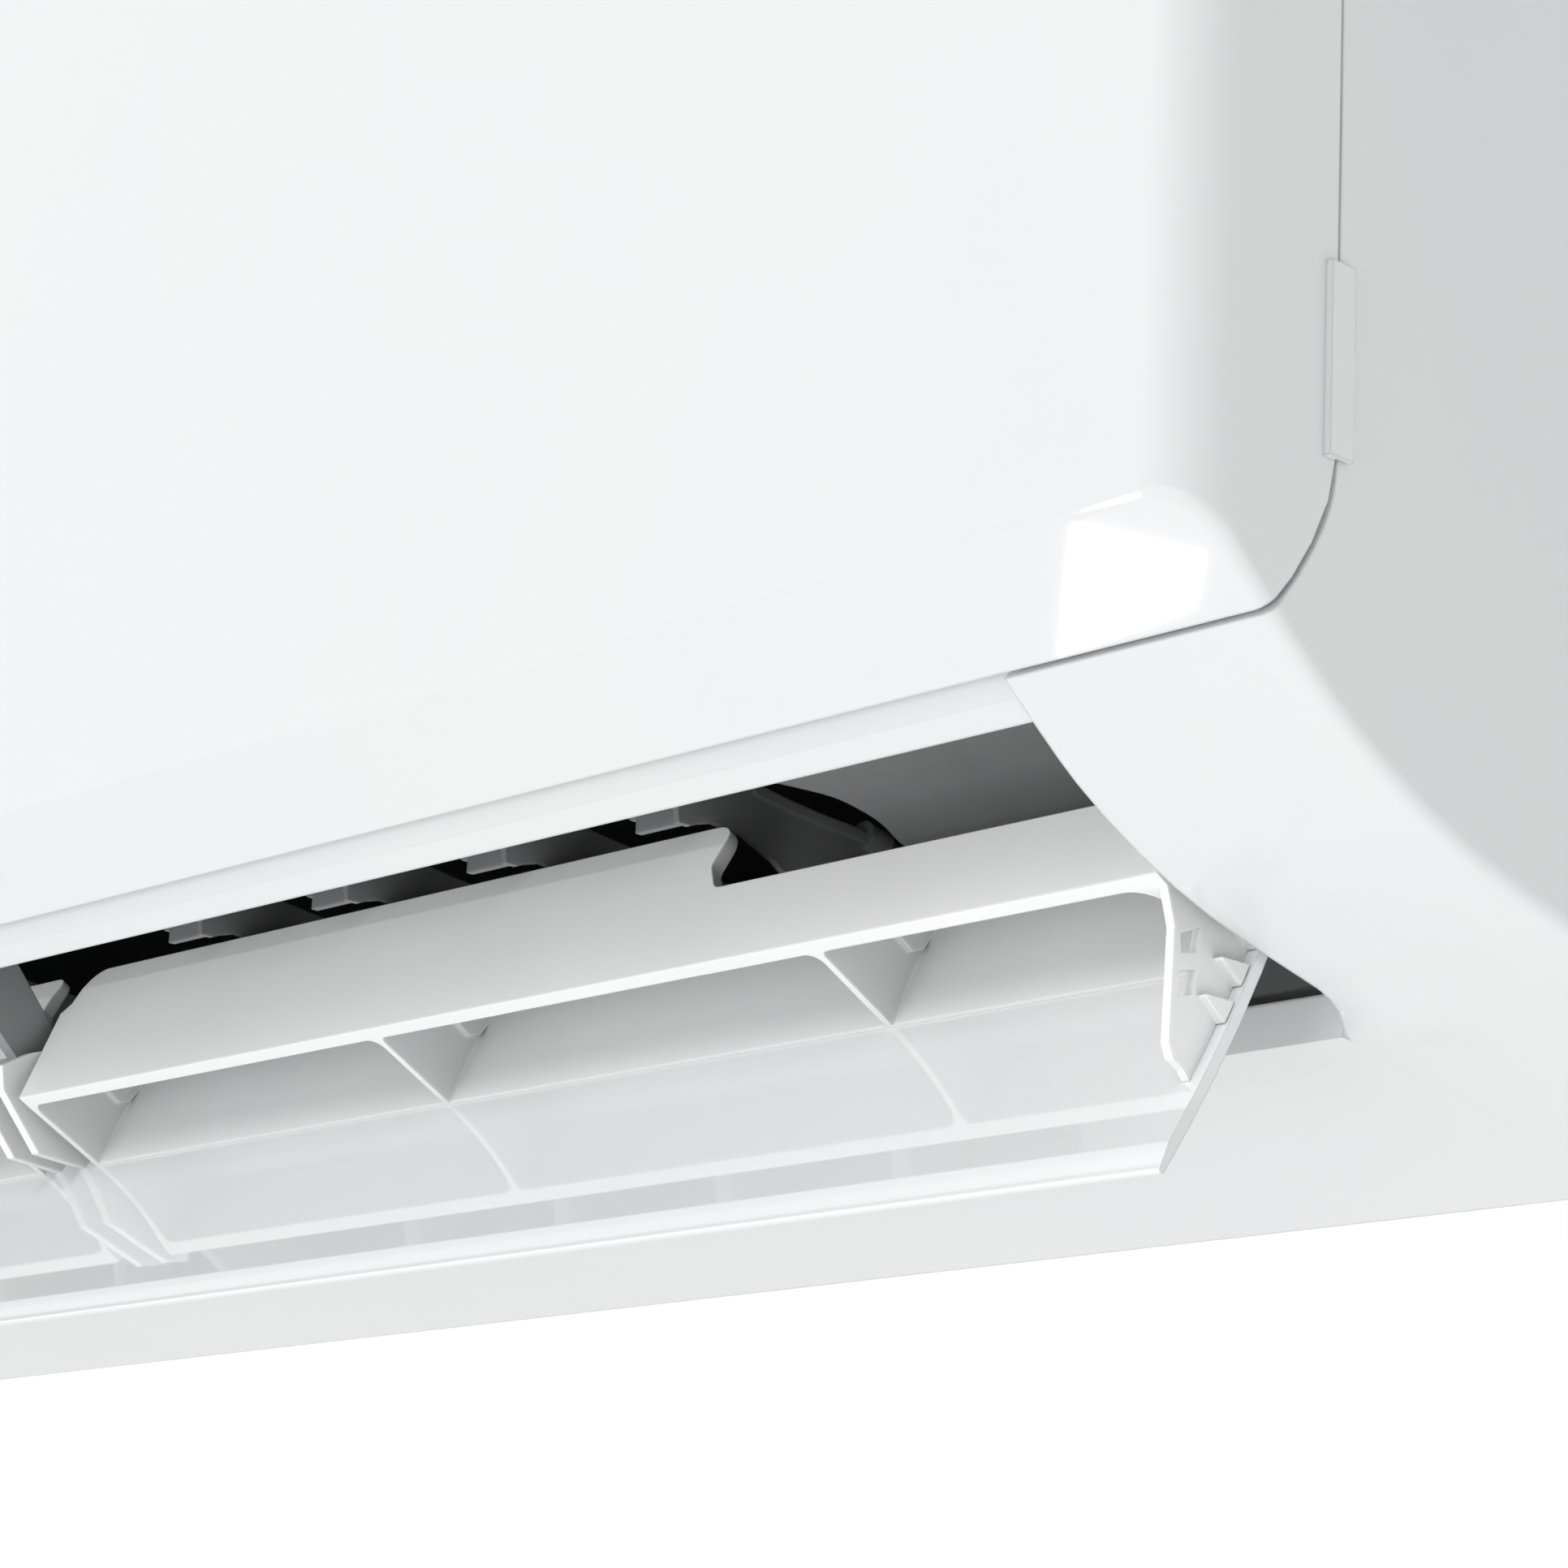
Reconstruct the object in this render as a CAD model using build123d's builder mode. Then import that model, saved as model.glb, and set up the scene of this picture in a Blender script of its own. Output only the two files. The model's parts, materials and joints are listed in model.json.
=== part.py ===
from build123d import *
import math
import os

os.makedirs("parts", exist_ok=True)

# Indoor unit of a wall-hung split air conditioner.
# Frame: X to the right as seen from the room, the front faces -Y, the wall is the plane Y = 0,
# +Z is up, and the origin is the centre of the wall plate.  Millimetres.

# ---------------------------------------------------------------- driving dimensions
HALF_W = 401.0            # half of the casing's width
TOP = 148.5               # top of the casing
BOT = -148.5              # lowest line of the casing, at the wall
BACK = -0.5               # rear edge of the casing
FRONT = -189.0            # front face
SKIN = 2.5                # wall of the white mouldings
CORNER = 10.5             # rounding of the vertical front corners
SEAM = -156.2             # seam between the front panel's side wing and the casing
OPEN_X = 346.0            # half of the outlet's width

HINGE = (-183.2, 122.0)   # front panel hinge (y, z)
NOSE = 5.8                # rounding of the panel's top edge about that hinge

PIV = (-107.8, -115.1)    # vane pivot (y, z)
VANE_OPEN = 83.7          # vane angle between closed and modelled pose
VANE_X = 344.5            # half length of the vane
VANE_T = 2.3              # vane plate thickness

FAN = (-92.0, -10.0)      # cross-flow fan axis (y, z)
FAN_R = 46.0
FAN_X0, FAN_X1 = -351.0, 240.0

LOUVER_PITCH = 51.0
LOUVER_X = [-311.0, -260.0, -209.0, -158.0, -107.0, -56.0, 56.0, 107.0, 158.0, 209.0]
BAFFLE_X = 262.0          # left edge of the roof piece beside the fan's driven end
AX_P = (-105.0, -68.0)    # a point of every louver's pivot axis (y, z)
AX_U = (-0.98319, 0.18257)  # direction of that axis in the YZ plane, forwards and up
PIN_AT = (-133.0, -81.5)  # centre of the louver's link pin (y, z)

UNION_GAS_R = 7.9375      # 5/8 inch flare thread, outside radius
UNION_LIQ_R = 5.5562      # 7/16 inch flare thread, outside radius
DRAIN_R = 8.0             # drain spigot, outside radius
BUTTON_X = 382.0          # small push button behind the panel


# ---------------------------------------------------------------- helpers
def prism(pts, x0, x1, mode=Mode.ADD):
    """closed (y, z) outline, run from x0 to x1"""
    with BuildSketch(Plane.YZ.offset(x0)) as sk:
        with BuildLine():
            Polyline(*pts, close=True)
        make_face()
    extrude(sk.sketch, amount=x1 - x0, mode=mode)


def block(x0, x1, y0, y1, z0, z1, mode=Mode.ADD):
    with Locations(((x0 + x1) / 2, (y0 + y1) / 2, (z0 + z1) / 2)):
        Box(x1 - x0, y1 - y0, z1 - z0, mode=mode)


def rod_x(x0, x1, y, z, r, mode=Mode.ADD):
    with BuildSketch(Plane.YZ.offset(x0)) as sk:
        with Locations((y, z)):
            Circle(r)
    extrude(sk.sketch, amount=x1 - x0, mode=mode)


def rod_y(x, y0, y1, z, r, mode=Mode.ADD):
    with Locations(Location((x, (y0 + y1) / 2, z), (90, 0, 0))):
        Cylinder(r, y1 - y0, mode=mode)


def rod_z(x, y, z0, z1, r, mode=Mode.ADD):
    with Locations((x, y, (z0 + z1) / 2)):
        Cylinder(r, z1 - z0, mode=mode)


def rod_u(x, y, z, length, r, mode=Mode.ADD):
    """cylinder along the louvers' axis direction, starting at (y, z)"""
    pl = Plane(origin=(x, y, z), x_dir=(1, 0, 0), z_dir=(0, AX_U[0], AX_U[1]))
    with BuildSketch(pl) as sk:
        Circle(r)
    extrude(sk.sketch, amount=length, mode=mode)


def offset_line(pts, t):
    """the polyline moved sideways by t (left of its direction)"""
    out = []
    n = len(pts)
    for i in range(n):
        a = pts[max(i - 1, 0)]
        b = pts[min(i + 1, n - 1)]
        dy, dz = b[0] - a[0], b[1] - a[1]
        l = math.hypot(dy, dz)
        out.append((pts[i][0] - dz / l * t, pts[i][1] + dy / l * t))
    return out


def spin(p, deg, c=PIV):
    a = math.radians(deg)
    y, z = p[0] - c[0], p[1] - c[1]
    return (c[0] + y * math.cos(a) - z * math.sin(a), c[1] + y * math.sin(a) + z * math.cos(a))


def curve_band(inner, outer, x0, x1):
    """a curved wall between two splines, run from x0 to x1"""
    with BuildSketch(Plane.YZ.offset(x0)) as sk:
        with BuildLine():
            a = Spline(*inner)
            b = Spline(*outer)
            Line(a @ 0, b @ 0)
            Line(a @ 1, b @ 1)
        make_face()
    extrude(sk.sketch, amount=x1 - x0)


# underside of the casing from the panel's chin to the wall, and the panel's seam
UNDER = [(-170.7, -94.0), (-161.9, -100.8), (-154.8, -106.0), (-145.0, -111.8), (-135.1, -116.6),
         (-125.0, -120.6), (-114.8, -123.7), (-97.7, -127.8), (-84.3, -130.8)]
SEAM_LOW = [(SEAM, -66.2), (-157.4, -73.3), (-161.0, -80.9), (-165.6, -87.8), (-170.7, -94.0)]

# the step at the rear of the outlet, faded out sideways: y at the outlet's end, y further out, depth below the underside
STEP = [(-95.0, -98.0, -0.25), (-91.5, -94.5, 0.1), (-89.0, -91.2, 0.6), (-87.2, -88.0, 1.5), (-86.2, -85.0, 2.7),
        (-85.5, -82.0, 3.9), (-84.7, -79.0, 4.8), (-83.6, -76.0, 5.35)]


def under_z(y):
    """height of the plain underside"""
    if y < -84.3:
        return -127.8 + (y + 97.7) * (-3.0 / 13.4)
    return -130.8 + (y + 84.3) * (BOT + 130.8) / (BACK + 84.3)


def swell(s):
    """the step at one end of the outlet, in straight facets between sections"""
    faces = []
    for d in range(0, 25, 3):
        w = 0.5 * (1 + math.cos(math.pi * d / 24))
        k = min(1.0, d / 10)
        pts = []
        for near, far, depth in STEP:
            y = near + (far - near) * k
            pts.append((y, under_z(y) - w * depth + 0.3 * (1 - w)))
        with BuildSketch(Plane.YZ.offset(s * (OPEN_X + d))) as section:
            with BuildLine():
                Polyline(*pts, (BACK - 0.1, BOT + 0.05), (BACK - 0.1, BOT + 1.0), (-83.6, -129.6), (pts[0][0], pts[0][1] + 1.2),
                         close=True)
            make_face()
        faces.append(section.sketch.face())
    loft(faces[::-1] if s < 0 else faces, ruled=True)


# ---------------------------------------------------------------- wall plate
with BuildPart() as wall_plate:
    with BuildSketch(Plane.XZ):
        Rectangle(680, 236)
        with Locations((-325, 0), (325, 0)):
            Rectangle(32, 120, mode=Mode.SUBTRACT)
        with Locations((-220, -30), (-90, -30), (0, -30), (90, -30), (220, -30)):
            SlotOverall(60, 34, mode=Mode.SUBTRACT)
        with Locations((-220, 38), (-90, 38), (90, 38), (220, 38)):
            SlotOverall(60, 22, mode=Mode.SUBTRACT)
        with GridLocations(580, 170, 2, 2):
            Circle(2.75, mode=Mode.SUBTRACT)
        with GridLocations(200, 190, 2, 2):
            Circle(2.75, mode=Mode.SUBTRACT)
        with Locations((0, 60)):
            Circle(2.75, mode=Mode.SUBTRACT)
    extrude(amount=1.2)
    # pressed stiffening beads
    for z in (68, 2, -68):
        block(-270, -42, -3.6, -1.2, z - 3, z + 3)
        block(42, 270, -3.6, -1.2, z - 3, z + 3)
    # folded edges
    block(-340, 340, -5.0, -1.2, -118, -116.8)
    # hanging hooks and lower snap tabs
    for x in (-150, 150):
        block(x - 20, x + 20, -11.0, -1.2, 116.8, 118.0)
        block(x - 20, x + 20, -11.0, -9.8, 116.8, 121.6)
        block(x - 14, x + 14, -8.0, -5.0, -118, -116.8)
    fillet(wall_plate.edges().filter_by(Axis.Y).group_by(SortBy.LENGTH)[0].filter_by(
        lambda e: abs(e.center().X) > 330 and abs(e.center().Z) > 110), radius=6)
wall_plate.part.label = "wall_plate"
export_step(wall_plate.part, "parts/wall_plate.step")

# ---------------------------------------------------------------- rear chassis with the fan scroll
SCROLL = []
for deg, r in ((54, 49.3), (40, 50.2), (20, 51.8), (0, 54.0), (-20, 58.0), (-38, 63.5), (-54, 72.0), (-65, 85.0),
               (-73, 99.0)):
    SCROLL.append((FAN[0] + r * math.cos(math.radians(deg)), FAN[1] + r * math.sin(math.radians(deg))))
SCROLL += [(-71.6, -117.5), (-79.6, -125.0)]
SCROLL_OUT = offset_line(SCROLL, SKIN)
END_PLATE = [(-12, 40), (-12, -5), (-34.5, -14), (-37, -40), (-45, -62), (-55, -88), (-62, -108), (-72, -124),
             (-86, -127.6), (-110, -120.2), (-128, -113.6), (-144, -105.4), (-156, -95.5), (-152, -84), (-145, -68), (-139.5, -52),
             (-139.5, 40)]

with BuildPart() as rear_chassis:
    block(-392, 392, -14.5, -12, 17.5, 124.5)                 # back wall
    block(-392, 392, -14.5, -6.0, 122, 124.5)                 # top rim
    for x in (-150, 150):                                     # lips that hang on the wall plate
        block(x - 26, x + 26, -8.4, -5.9, 118.4, 122.2)
    block(-356, 276, -47, -12, 17.5, 20)                      # rear gutter
    prism([(-47, 17.5), (-44.6, 17.5), (-59.5, 33.5), (-63.6, 31.0), (-62.0, 29.4)], -356, 276)
    curve_band(SCROLL, SCROLL_OUT, -356, 276)                 # scroll and rear outlet wall
    prism(END_PLATE, -358.5, -356)                            # left end plate
    rod_x(-362, -353, FAN[0], FAN[1], 17)                     # bearing seat
    prism([(-36, 20), (-36, -60), (-133.5, -60), (-133.5, -32), (-139.5, -29), (-139.5, 35), (-136.0, 40), (-56, 40)], 246, 248.5)
    block(248.4, 276, -138, -46, -60, -58)                    # floor under the motor's end
    for x in (-392, 389.5):                                   # end walls
        block(x, x + 2.5, -140, -12, -70, 124.5)
    for x in (-352, -240, -130):                              # wall contact ribs
        prism([(-6.0, 20), (-6.0, -138), (-74.5, -124), (-66, -108), (-56, -88), (-45, -62), (-36.5, -40),
               (-34.0, -14), (-30, 10), (-14, 18)], x, x + 2.5)
    for x in LOUVER_X:                                        # louver pivot bosses
        rod_u(x, -48.6, -78.47, 10.0, 4.2)
        rod_u(x, -45.0, -79.14, 16.0, 2.05, Mode.SUBTRACT)
    rod_x(-363, -352, FAN[0], FAN[1], 12, Mode.SUBTRACT)
    rod_x(245, 250, FAN[0], FAN[1], 16, Mode.SUBTRACT)
rear_chassis.part.label = "rear_chassis"
export_step(rear_chassis.part, "parts/rear_chassis.step")

# ---------------------------------------------------------------- front casing
with BuildPart() as frame_outer:
    with BuildSketch(Plane.YZ.offset(-HALF_W)):
        with BuildLine():
            Line((BACK, TOP), (-165.0, TOP))
            RadiusArc((-165.0, TOP), (FRONT, 124.5), -24.0)
            Line((FRONT, 124.5), (FRONT, 122.0))
            Line((FRONT, 122.0), (SEAM, 122.0))
            Line((SEAM, 122.0), (SEAM, -66.2))
            Spline(*SEAM_LOW)
            Spline(*UNDER)
            Line(UNDER[-1], (BACK, BOT))
            Line((BACK, BOT), (BACK, TOP))
        make_face()
    extrude(amount=2 * HALF_W)
    side = frame_outer.edges().filter_by(lambda e: abs(abs(e.center().X) - HALF_W) < 0.01)
    fillet(side.filter_by(lambda e: e.center().Z > 122.6 and e.center().Y < -5), radius=CORNER)
    side = frame_outer.edges().filter_by(lambda e: abs(abs(e.center().X) - HALF_W) < 0.01)
    fillet(side.filter_by(lambda e: e.center().Z < -100 and e.center().Y < -5), radius=2.6)

with BuildPart() as frame_inner:
    with BuildSketch(Plane.YZ.offset(-HALF_W + SKIN)):
        with BuildLine():
            Line((5, TOP - SKIN), (-165.0, TOP - SKIN))
            RadiusArc((-165.0, TOP - SKIN), (FRONT + SKIN, 124.5), -21.5)
            Line((FRONT + SKIN, 124.5), (FRONT + SKIN, 60))
            Line((FRONT + SKIN, 60), (-200, 60))
            Line((-200, 60), (-200, -91.8))
            Line((-200, -91.8), (-169.0, -91.8))
            Spline(*[(-169.0, -91.8), (-153.4, -103.6), (-143.9, -109.3), (-134.1, -114.2), (-124.1, -118.2),
                     (-114.0, -121.3), (-97.2, -125.4), (-84.0, -128.3)])
            Line((-84.0, -128.3), (5, BOT + 1.35))
            Line((5, BOT + 1.35), (5, TOP - SKIN))
        make_face()
    extrude(amount=2 * (HALF_W - SKIN))
    fillet(frame_inner.edges().filter_by(
        lambda e: abs(abs(e.center().X) - HALF_W + SKIN) < 0.01 and e.center().Z > TOP - SKIN - 0.1), radius=8.0)

with BuildPart() as front_frame:
    add(frame_outer.part)
    add(frame_inner.part, mode=Mode.SUBTRACT)
    # clearance round the panel's rolled top edge
    rod_x(-402, 402, HINGE[0], HINGE[1], NOSE + 0.55, Mode.SUBTRACT)
    # and room for the panel's face as it lifts
    prism([(-186.84, 127.2), (-190.2, 124.85), (-190.2, 120.5), (-185.5, 120.5)], -402, 402, Mode.SUBTRACT)
    # outlet mouth
    prism([(-176.0, -86.2), (-176.0, -97), (-162.0, -120), (-85.7, -150), (-85.7, -100), (-120, -85)], -OPEN_X, OPEN_X,
          Mode.SUBTRACT)
    # filter slots in the top
    for s in (-1, 1):
        block(min(s * 3, s * 363), max(s * 3, s * 363), -178.0, -172.6, 130, 160, Mode.SUBTRACT)
    # air intake in the top
    block(-372, 372, -160, -20, 140, 160, Mode.SUBTRACT)
    # ledges under the top grille
    for s in (-1, 1):
        block(min(s * 369, s * 374), max(s * 369, s * 374), -162, -18, 140.8, 142.8)
        block(min(s * 371.9, s * 374), max(s * 371.9, s * 374), -162, -18, 140.8, 146.2)
    block(-374, 374, -162, -157.5, 140.8, 142.8)
    block(-374, 374, -162, -159.9, 140.8, 146.2)
    block(-374, 374, -22.5, -18, 140.8, 142.8)
    block(-374, 374, -20.1, -18, 140.8, 146.2)
    # front lip of the outlet and the beam above it
    prism([(-162.0, -98.7), (-166.3, -95.8), (-167.3, -92.8), (-168.3, -90.4), (-173.0, -86.4), (-173.0, -75.5),
           (-170.5, -75.5), (-170.5, -85.2), (-165.2, -89.6), (-162.6, -93.6), (-159.9, -96.6)], -397.5, 397.5)
    # lower edge of the underside behind the outlet
    prism([(-85.7, -130.2), (-85.7, -135.9), (BACK, BOT), (BACK, BOT + 1.5), (-83.6, -128.6)], -OPEN_X, OPEN_X)
    for s in (-1, 1):
        # the underside swells into the ends of the outlet
        swell(s)
        a, b = (OPEN_X, OPEN_X + SKIN) if s > 0 else (-OPEN_X - SKIN, -OPEN_X)
        # end wall of the outlet
        prism([(-162.4, -98.9), (-157.4, -91.5), (-140, -87.5), (-112, -87.5), (-88, -96), (-78.5, -106), (-77.5, -117),
               (-86.9, -126.6), (-84.2, -129.5), (-97.6, -126.6), (-114.6, -122.5), (-124.8, -119.4), (-134.9, -115.4),
               (-144.8, -110.6), (-154.6, -104.8)], a, b)
        rod_x(a - 1, b + 1, PIV[0], PIV[1], 3.55, Mode.SUBTRACT)
        # backing wall behind the panel's wing
        c, d = (395.2, 397.2) if s > 0 else (-397.2, -395.2)
        block(c, d, -181, -150, -74, 112)
        e, f = (395.2, 399) if s > 0 else (-399, -395.2)
        block(e, f, -153, -150, -74, 145)
        # hinge ears
        g, h = (388.0, 392.0) if s > 0 else (-392.0, -388.0)
        rod_x(g, h, HINGE[0], HINGE[1], 3.0)
        block(g, h, -183.2, -166, 119.0, 122.8)
        block(g, h, -172, -164, 119.0, 147)
        rod_x(g - 1, h + 1, HINGE[0], HINGE[1], 1.55, Mode.SUBTRACT)
    # housing of the small push button, on the right
    block(373, 391, -180, -171, -80, -28)
    block(373, 391, -172.8, -164, -88, -76)
    rod_y(BUTTON_X, -185, -160, -40, 4.05, Mode.SUBTRACT)
    # screw holes in the beam
    for x in (-300, -100, 100, 300):
        rod_y(x, -175, -169, -80, 1.6, Mode.SUBTRACT)
front_frame.part.label = "front_frame"
export_step(front_frame.part, "parts/front_frame.step")

# ---------------------------------------------------------------- filter grid behind the filters
with BuildPart() as filter_grid:
    with BuildSketch(Plane.XZ.offset(169.2)):
        with Locations((0, 31)):
            Rectangle(744, 186)
            with GridLocations(61.5, 45.5, 12, 4):
                Rectangle(58.5, 42.5, mode=Mode.SUBTRACT)
    extrude(amount=1.6)
    # guide rails at the ends and in the middle
    for x in (-369.5, -1.0, 365.5):
        block(x, x + (4 if abs(x) > 5 else 2), -176.8, -170.7, -62, 124)
    # rest for the filters' lower edges
    block(-372, 372, -176.8, -170.7, -60.5, -58.5)
    # end flanges
    block(-385, -371.9, -170.8, -169.2, -62, 118)
    block(371.9, 385, -170.8, -169.2, -62, 118)
filter_grid.part.label = "filter_grid"
export_step(filter_grid.part, "parts/filter_grid.step")

# ---------------------------------------------------------------- top intake grille
with BuildPart() as top_grille:
    with BuildSketch(Plane.XY.offset(143.0)):
        with Locations((0, -90)):
            Rectangle(742.6, 138.8)
            with GridLocations(61.2, 8.9, 12, 15):
                Rectangle(58.2, 6.1, mode=Mode.SUBTRACT)
    extrude(amount=4.6)
top_grille.part.label = "top_grille"
export_step(top_grille.part, "parts/top_grille.step")

# ---------------------------------------------------------------- drain tray and front wall of the air duct
DUCT = [(-135.5, -35.0), (-138.0, -50.0), (-143.5, -64.0), (-150.0, -78.0), (-156.6, -91.6)]
with BuildPart() as drain_tray:
    with BuildSketch(Plane.YZ.offset(-345.4)):
        with BuildLine():
            a = Spline(*DUCT)
            Polyline(a @ 1, (-158.9, -90.5), (-150.8, -73.6), (-169.0, -73.6), (-169.0, -46.0), (-166.8, -46.0),
                     (-166.8, -71.2), (-148.9, -71.2))
            b = Spline((-148.9, -71.2), (-145.9, -64.8), (-140.5, -50.8), (-138.3, -35.6))
            ThreePointArc(b @ 1, (-136.7, -33.8), a @ 0)
        make_face()
    extrude(amount=690.8)
    for s in (-1, 1):
        a, b = (343.0, 345.4) if s > 0 else (-345.4, -343.0)
        prism([(-169, -73.6), (-169, -46), (-141, -46), (-142, -56), (-146, -66), (-149.4, -73.6)], a, b)
        rod_x(a - 2, b + 2, -158.0, -60.0, 6.0, Mode.SUBTRACT)
drain_tray.part.label = "drain_tray"
export_step(drain_tray.part, "parts/drain_tray.step")

# ---------------------------------------------------------------- roof of the outlet beside the fan's driven end
ROOF = [(-154.0, -92.4), (-148.5, -90.7), (-142.0, -90.0), (-132.2, -89.4), (-125.1, -89.4), (-119.5, -90.2),
        (-113.7, -91.8), (-109.1, -94.1), (-103.0, -94.4), (-97.0, -94.0), (-91.0, -94.6), (-85.5, -98.0), (-81.5, -104.5),
        (-80.2, -112.0), (-80.2, -117.0)]
ROOF_UP = offset_line(ROOF, 2.4)
with BuildPart() as duct_end_baffle:
    curve_band(ROOF, ROOF_UP, BAFFLE_X, 345.4)
    # leg that meets the rear lip
    prism([(-80.2, -116.0), (-77.8, -116.0), (-77.4, -124.0), (-79.8, -124.6)], 276.6, 345.4)
    # upright wall towards the fan
    prism([(-147.5, -89.4), (-142.0, -88.8), (-125.1, -88.2), (-119.5, -89.0), (-113.0, -90.8), (-108.0, -93.0), (-91.0, -93.2),
           (-84.6, -97.0), (-80.4, -104.0), (-64.5, -97), (-56, -78), (-52.5, -63), (-141, -63), (-146.4, -74)],
          BAFFLE_X, BAFFLE_X + 2.4)
duct_end_baffle.part.label = "duct_end_baffle"
export_step(duct_end_baffle.part, "parts/duct_end_baffle.step")

# ---------------------------------------------------------------- arm that holds the vane in the middle
with BuildPart() as centre_support:
    prism([(-104.3, -111.5), (-143.9, -65.2), (-151.2, -80.6), (-111.4, -118.5)], -1.8, 1.8)
    rod_x(-1.8, 1.8, PIV[0], PIV[1], 5.0)
    rod_x(-4, 4, PIV[0], PIV[1], 2.55, Mode.SUBTRACT)
centre_support.part.label = "centre_support"
export_step(centre_support.part, "parts/centre_support.step")

# ---------------------------------------------------------------- vane, drawn closed and turned to its open pose
TIP_C, MID_C, ROOT_C = (-161.0, -100.2), (-125.6, -117.3), (-88.4, -129.4)


def circle3(a, b, c):
    d = 2 * (a[0] * (b[1] - c[1]) + b[0] * (c[1] - a[1]) + c[0] * (a[1] - b[1]))
    sa, sb, sc = (p[0] ** 2 + p[1] ** 2 for p in (a, b, c))
    y = (sa * (b[1] - c[1]) + sb * (c[1] - a[1]) + sc * (a[1] - b[1])) / d
    z = (sa * (c[0] - b[0]) + sb * (a[0] - c[0]) + sc * (b[0] - a[0])) / d
    return (y, z), math.hypot(a[0] - y, a[1] - z)


ARC_C, ARC_R = circle3(TIP_C, MID_C, ROOT_C)


def vane_pt(t, depth=0.0):
    """point of the vane plate: t from its tip (0) to its root (1), depth inwards from the outer face"""
    a0 = math.atan2(TIP_C[1] - ARC_C[1], TIP_C[0] - ARC_C[0])
    a1 = math.atan2(ROOT_C[1] - ARC_C[1], ROOT_C[0] - ARC_C[0])
    a = a0 + (a1 - a0) * t
    r = ARC_R - depth
    return spin((ARC_C[0] + r * math.cos(a), ARC_C[1] + r * math.sin(a)), VANE_OPEN)


def plate_y(z, depth=VANE_T):
    """y of the vane plate's inner face at height z, in the open pose"""
    c = spin(ARC_C, VANE_OPEN)
    r = ARC_R - depth
    y = math.sqrt(r * r - (z - c[1]) ** 2)
    return c[0] + y if abs(c[0] + y + 105) < abs(c[0] - y + 105) else c[0] - y


with BuildPart() as vane_plate:
    with BuildSketch(Plane.YZ.offset(-VANE_X)):
        with BuildLine():
            ThreePointArc(vane_pt(0), vane_pt(0.5), vane_pt(1))
            Line(vane_pt(1), vane_pt(1, VANE_T))
            ThreePointArc(vane_pt(1, VANE_T), vane_pt(0.53, VANE_T), vane_pt(0.07, VANE_T))
            Line(vane_pt(0.07, VANE_T), vane_pt(0, 1.15))
            Line(vane_pt(0, 1.15), vane_pt(0))
        make_face()
    extrude(amount=2 * VANE_X)
    long_edges = vane_plate.edges().filter_by(Axis.X)
    fillet(long_edges.filter_by(lambda e: min(math.hypot(e.center().Y - q[0], e.center().Z - q[1])
                                              for q in (vane_pt(0), vane_pt(0, 1.15))) < 0.2), radius=0.5)
    long_edges = vane_plate.edges().filter_by(Axis.X)
    fillet(long_edges.filter_by(lambda e: min(math.hypot(e.center().Y - q[0], e.center().Z - q[1])
                                              for q in (vane_pt(1), vane_pt(1, VANE_T))) < 0.2), radius=0.9)
vane_plate.part.label = "vane_plate"
export_step(vane_plate.part, "parts/vane_plate.step")

# inner moulding of the vane: blade, ribs, web and backing
BL = (-126.4, -117.5)                 # lower rear corner of the blade
BD = (0.5, 0.8660254)                 # direction up the blade
BN = (-0.8660254, 0.5)                # its front face's normal
BT = 3.0                              # blade thickness
J = vane_pt(0.565, VANE_T)            # where the backing starts on the plate
RT = vane_pt(0.965, VANE_T)           # top of the backing
RIBS = [133.5, 259.5]
BLADE_PL = Plane(origin=(0, BL[0] + BN[0] * BT, BL[1] + BN[1] * BT), x_dir=(1, 0, 0), z_dir=(0, BN[0], BN[1]))


def up_blade(t, n=0.0):
    return (BL[0] + BD[0] * t + BN[0] * n, BL[1] + BD[1] * t + BN[1] * n)


MOUTH = (J[0] - BL[0], J[1] - BL[1])
ML = math.hypot(*MOUTH)
MD = (MOUTH[0] / ML, MOUTH[1] / ML)
MOUTH_PL = Plane(origin=(0, BL[0] - MD[1] * -2, BL[1] + MD[0] * -2), x_dir=(1, 0, 0), z_dir=(0, -MD[1], MD[0]))

body_pts = [BL, up_blade(15.6), up_blade(17.0, 1.0), (RT[0] - 6, RT[1] - 1.0), RT] +            [vane_pt(t, VANE_T) for t in (0.9, 0.8, 0.7, 0.62)] + [J]
pocket_pts = [(BL[0] - 2, BL[1] - 3.4), BL, up_blade(13.2), (up_blade(13.2)[0] + 3, up_blade(13.2)[1] + 1.4),
              (RT[0] - 7, RT[1] - 3.2), vane_pt(0.92, VANE_T + 1.0)] +              [vane_pt(t, VANE_T + 1.0) for t in (0.85, 0.75, 0.65)] + [vane_pt(0.565, VANE_T + 0.6), (J[0] - 2, J[1] - 4)]


def vane_pocket(x0, x1, r0, r1):
    with BuildPart(mode=Mode.PRIVATE) as pk:
        prism(pocket_pts, x0, x1)
        with BuildSketch(MOUTH_PL) as sk:
            with Locations(((x0 + x1) / 2, ML / 2 + 5)):
                Rectangle(x1 - x0, ML + 10)
            lo = sk.vertices().group_by(Axis.X)
            v = sk.vertices().sort_by(lambda q: (q.Y * MD[0] + q.Z * MD[1]))[:2]
            left = [q for q in v if q.X < (x0 + x1) / 2]
            right = [q for q in v if q.X > (x0 + x1) / 2]
            fillet(left, radius=r0)
            right = [q for q in sk.vertices().sort_by(lambda q: (q.Y * MD[0] + q.Z * MD[1])) if abs(q.X - x1) < 0.01][:1]
            fillet(right, radius=r1)
        extrude(sk.sketch, amount=60, mode=Mode.INTERSECT)
    return pk.part


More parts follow.
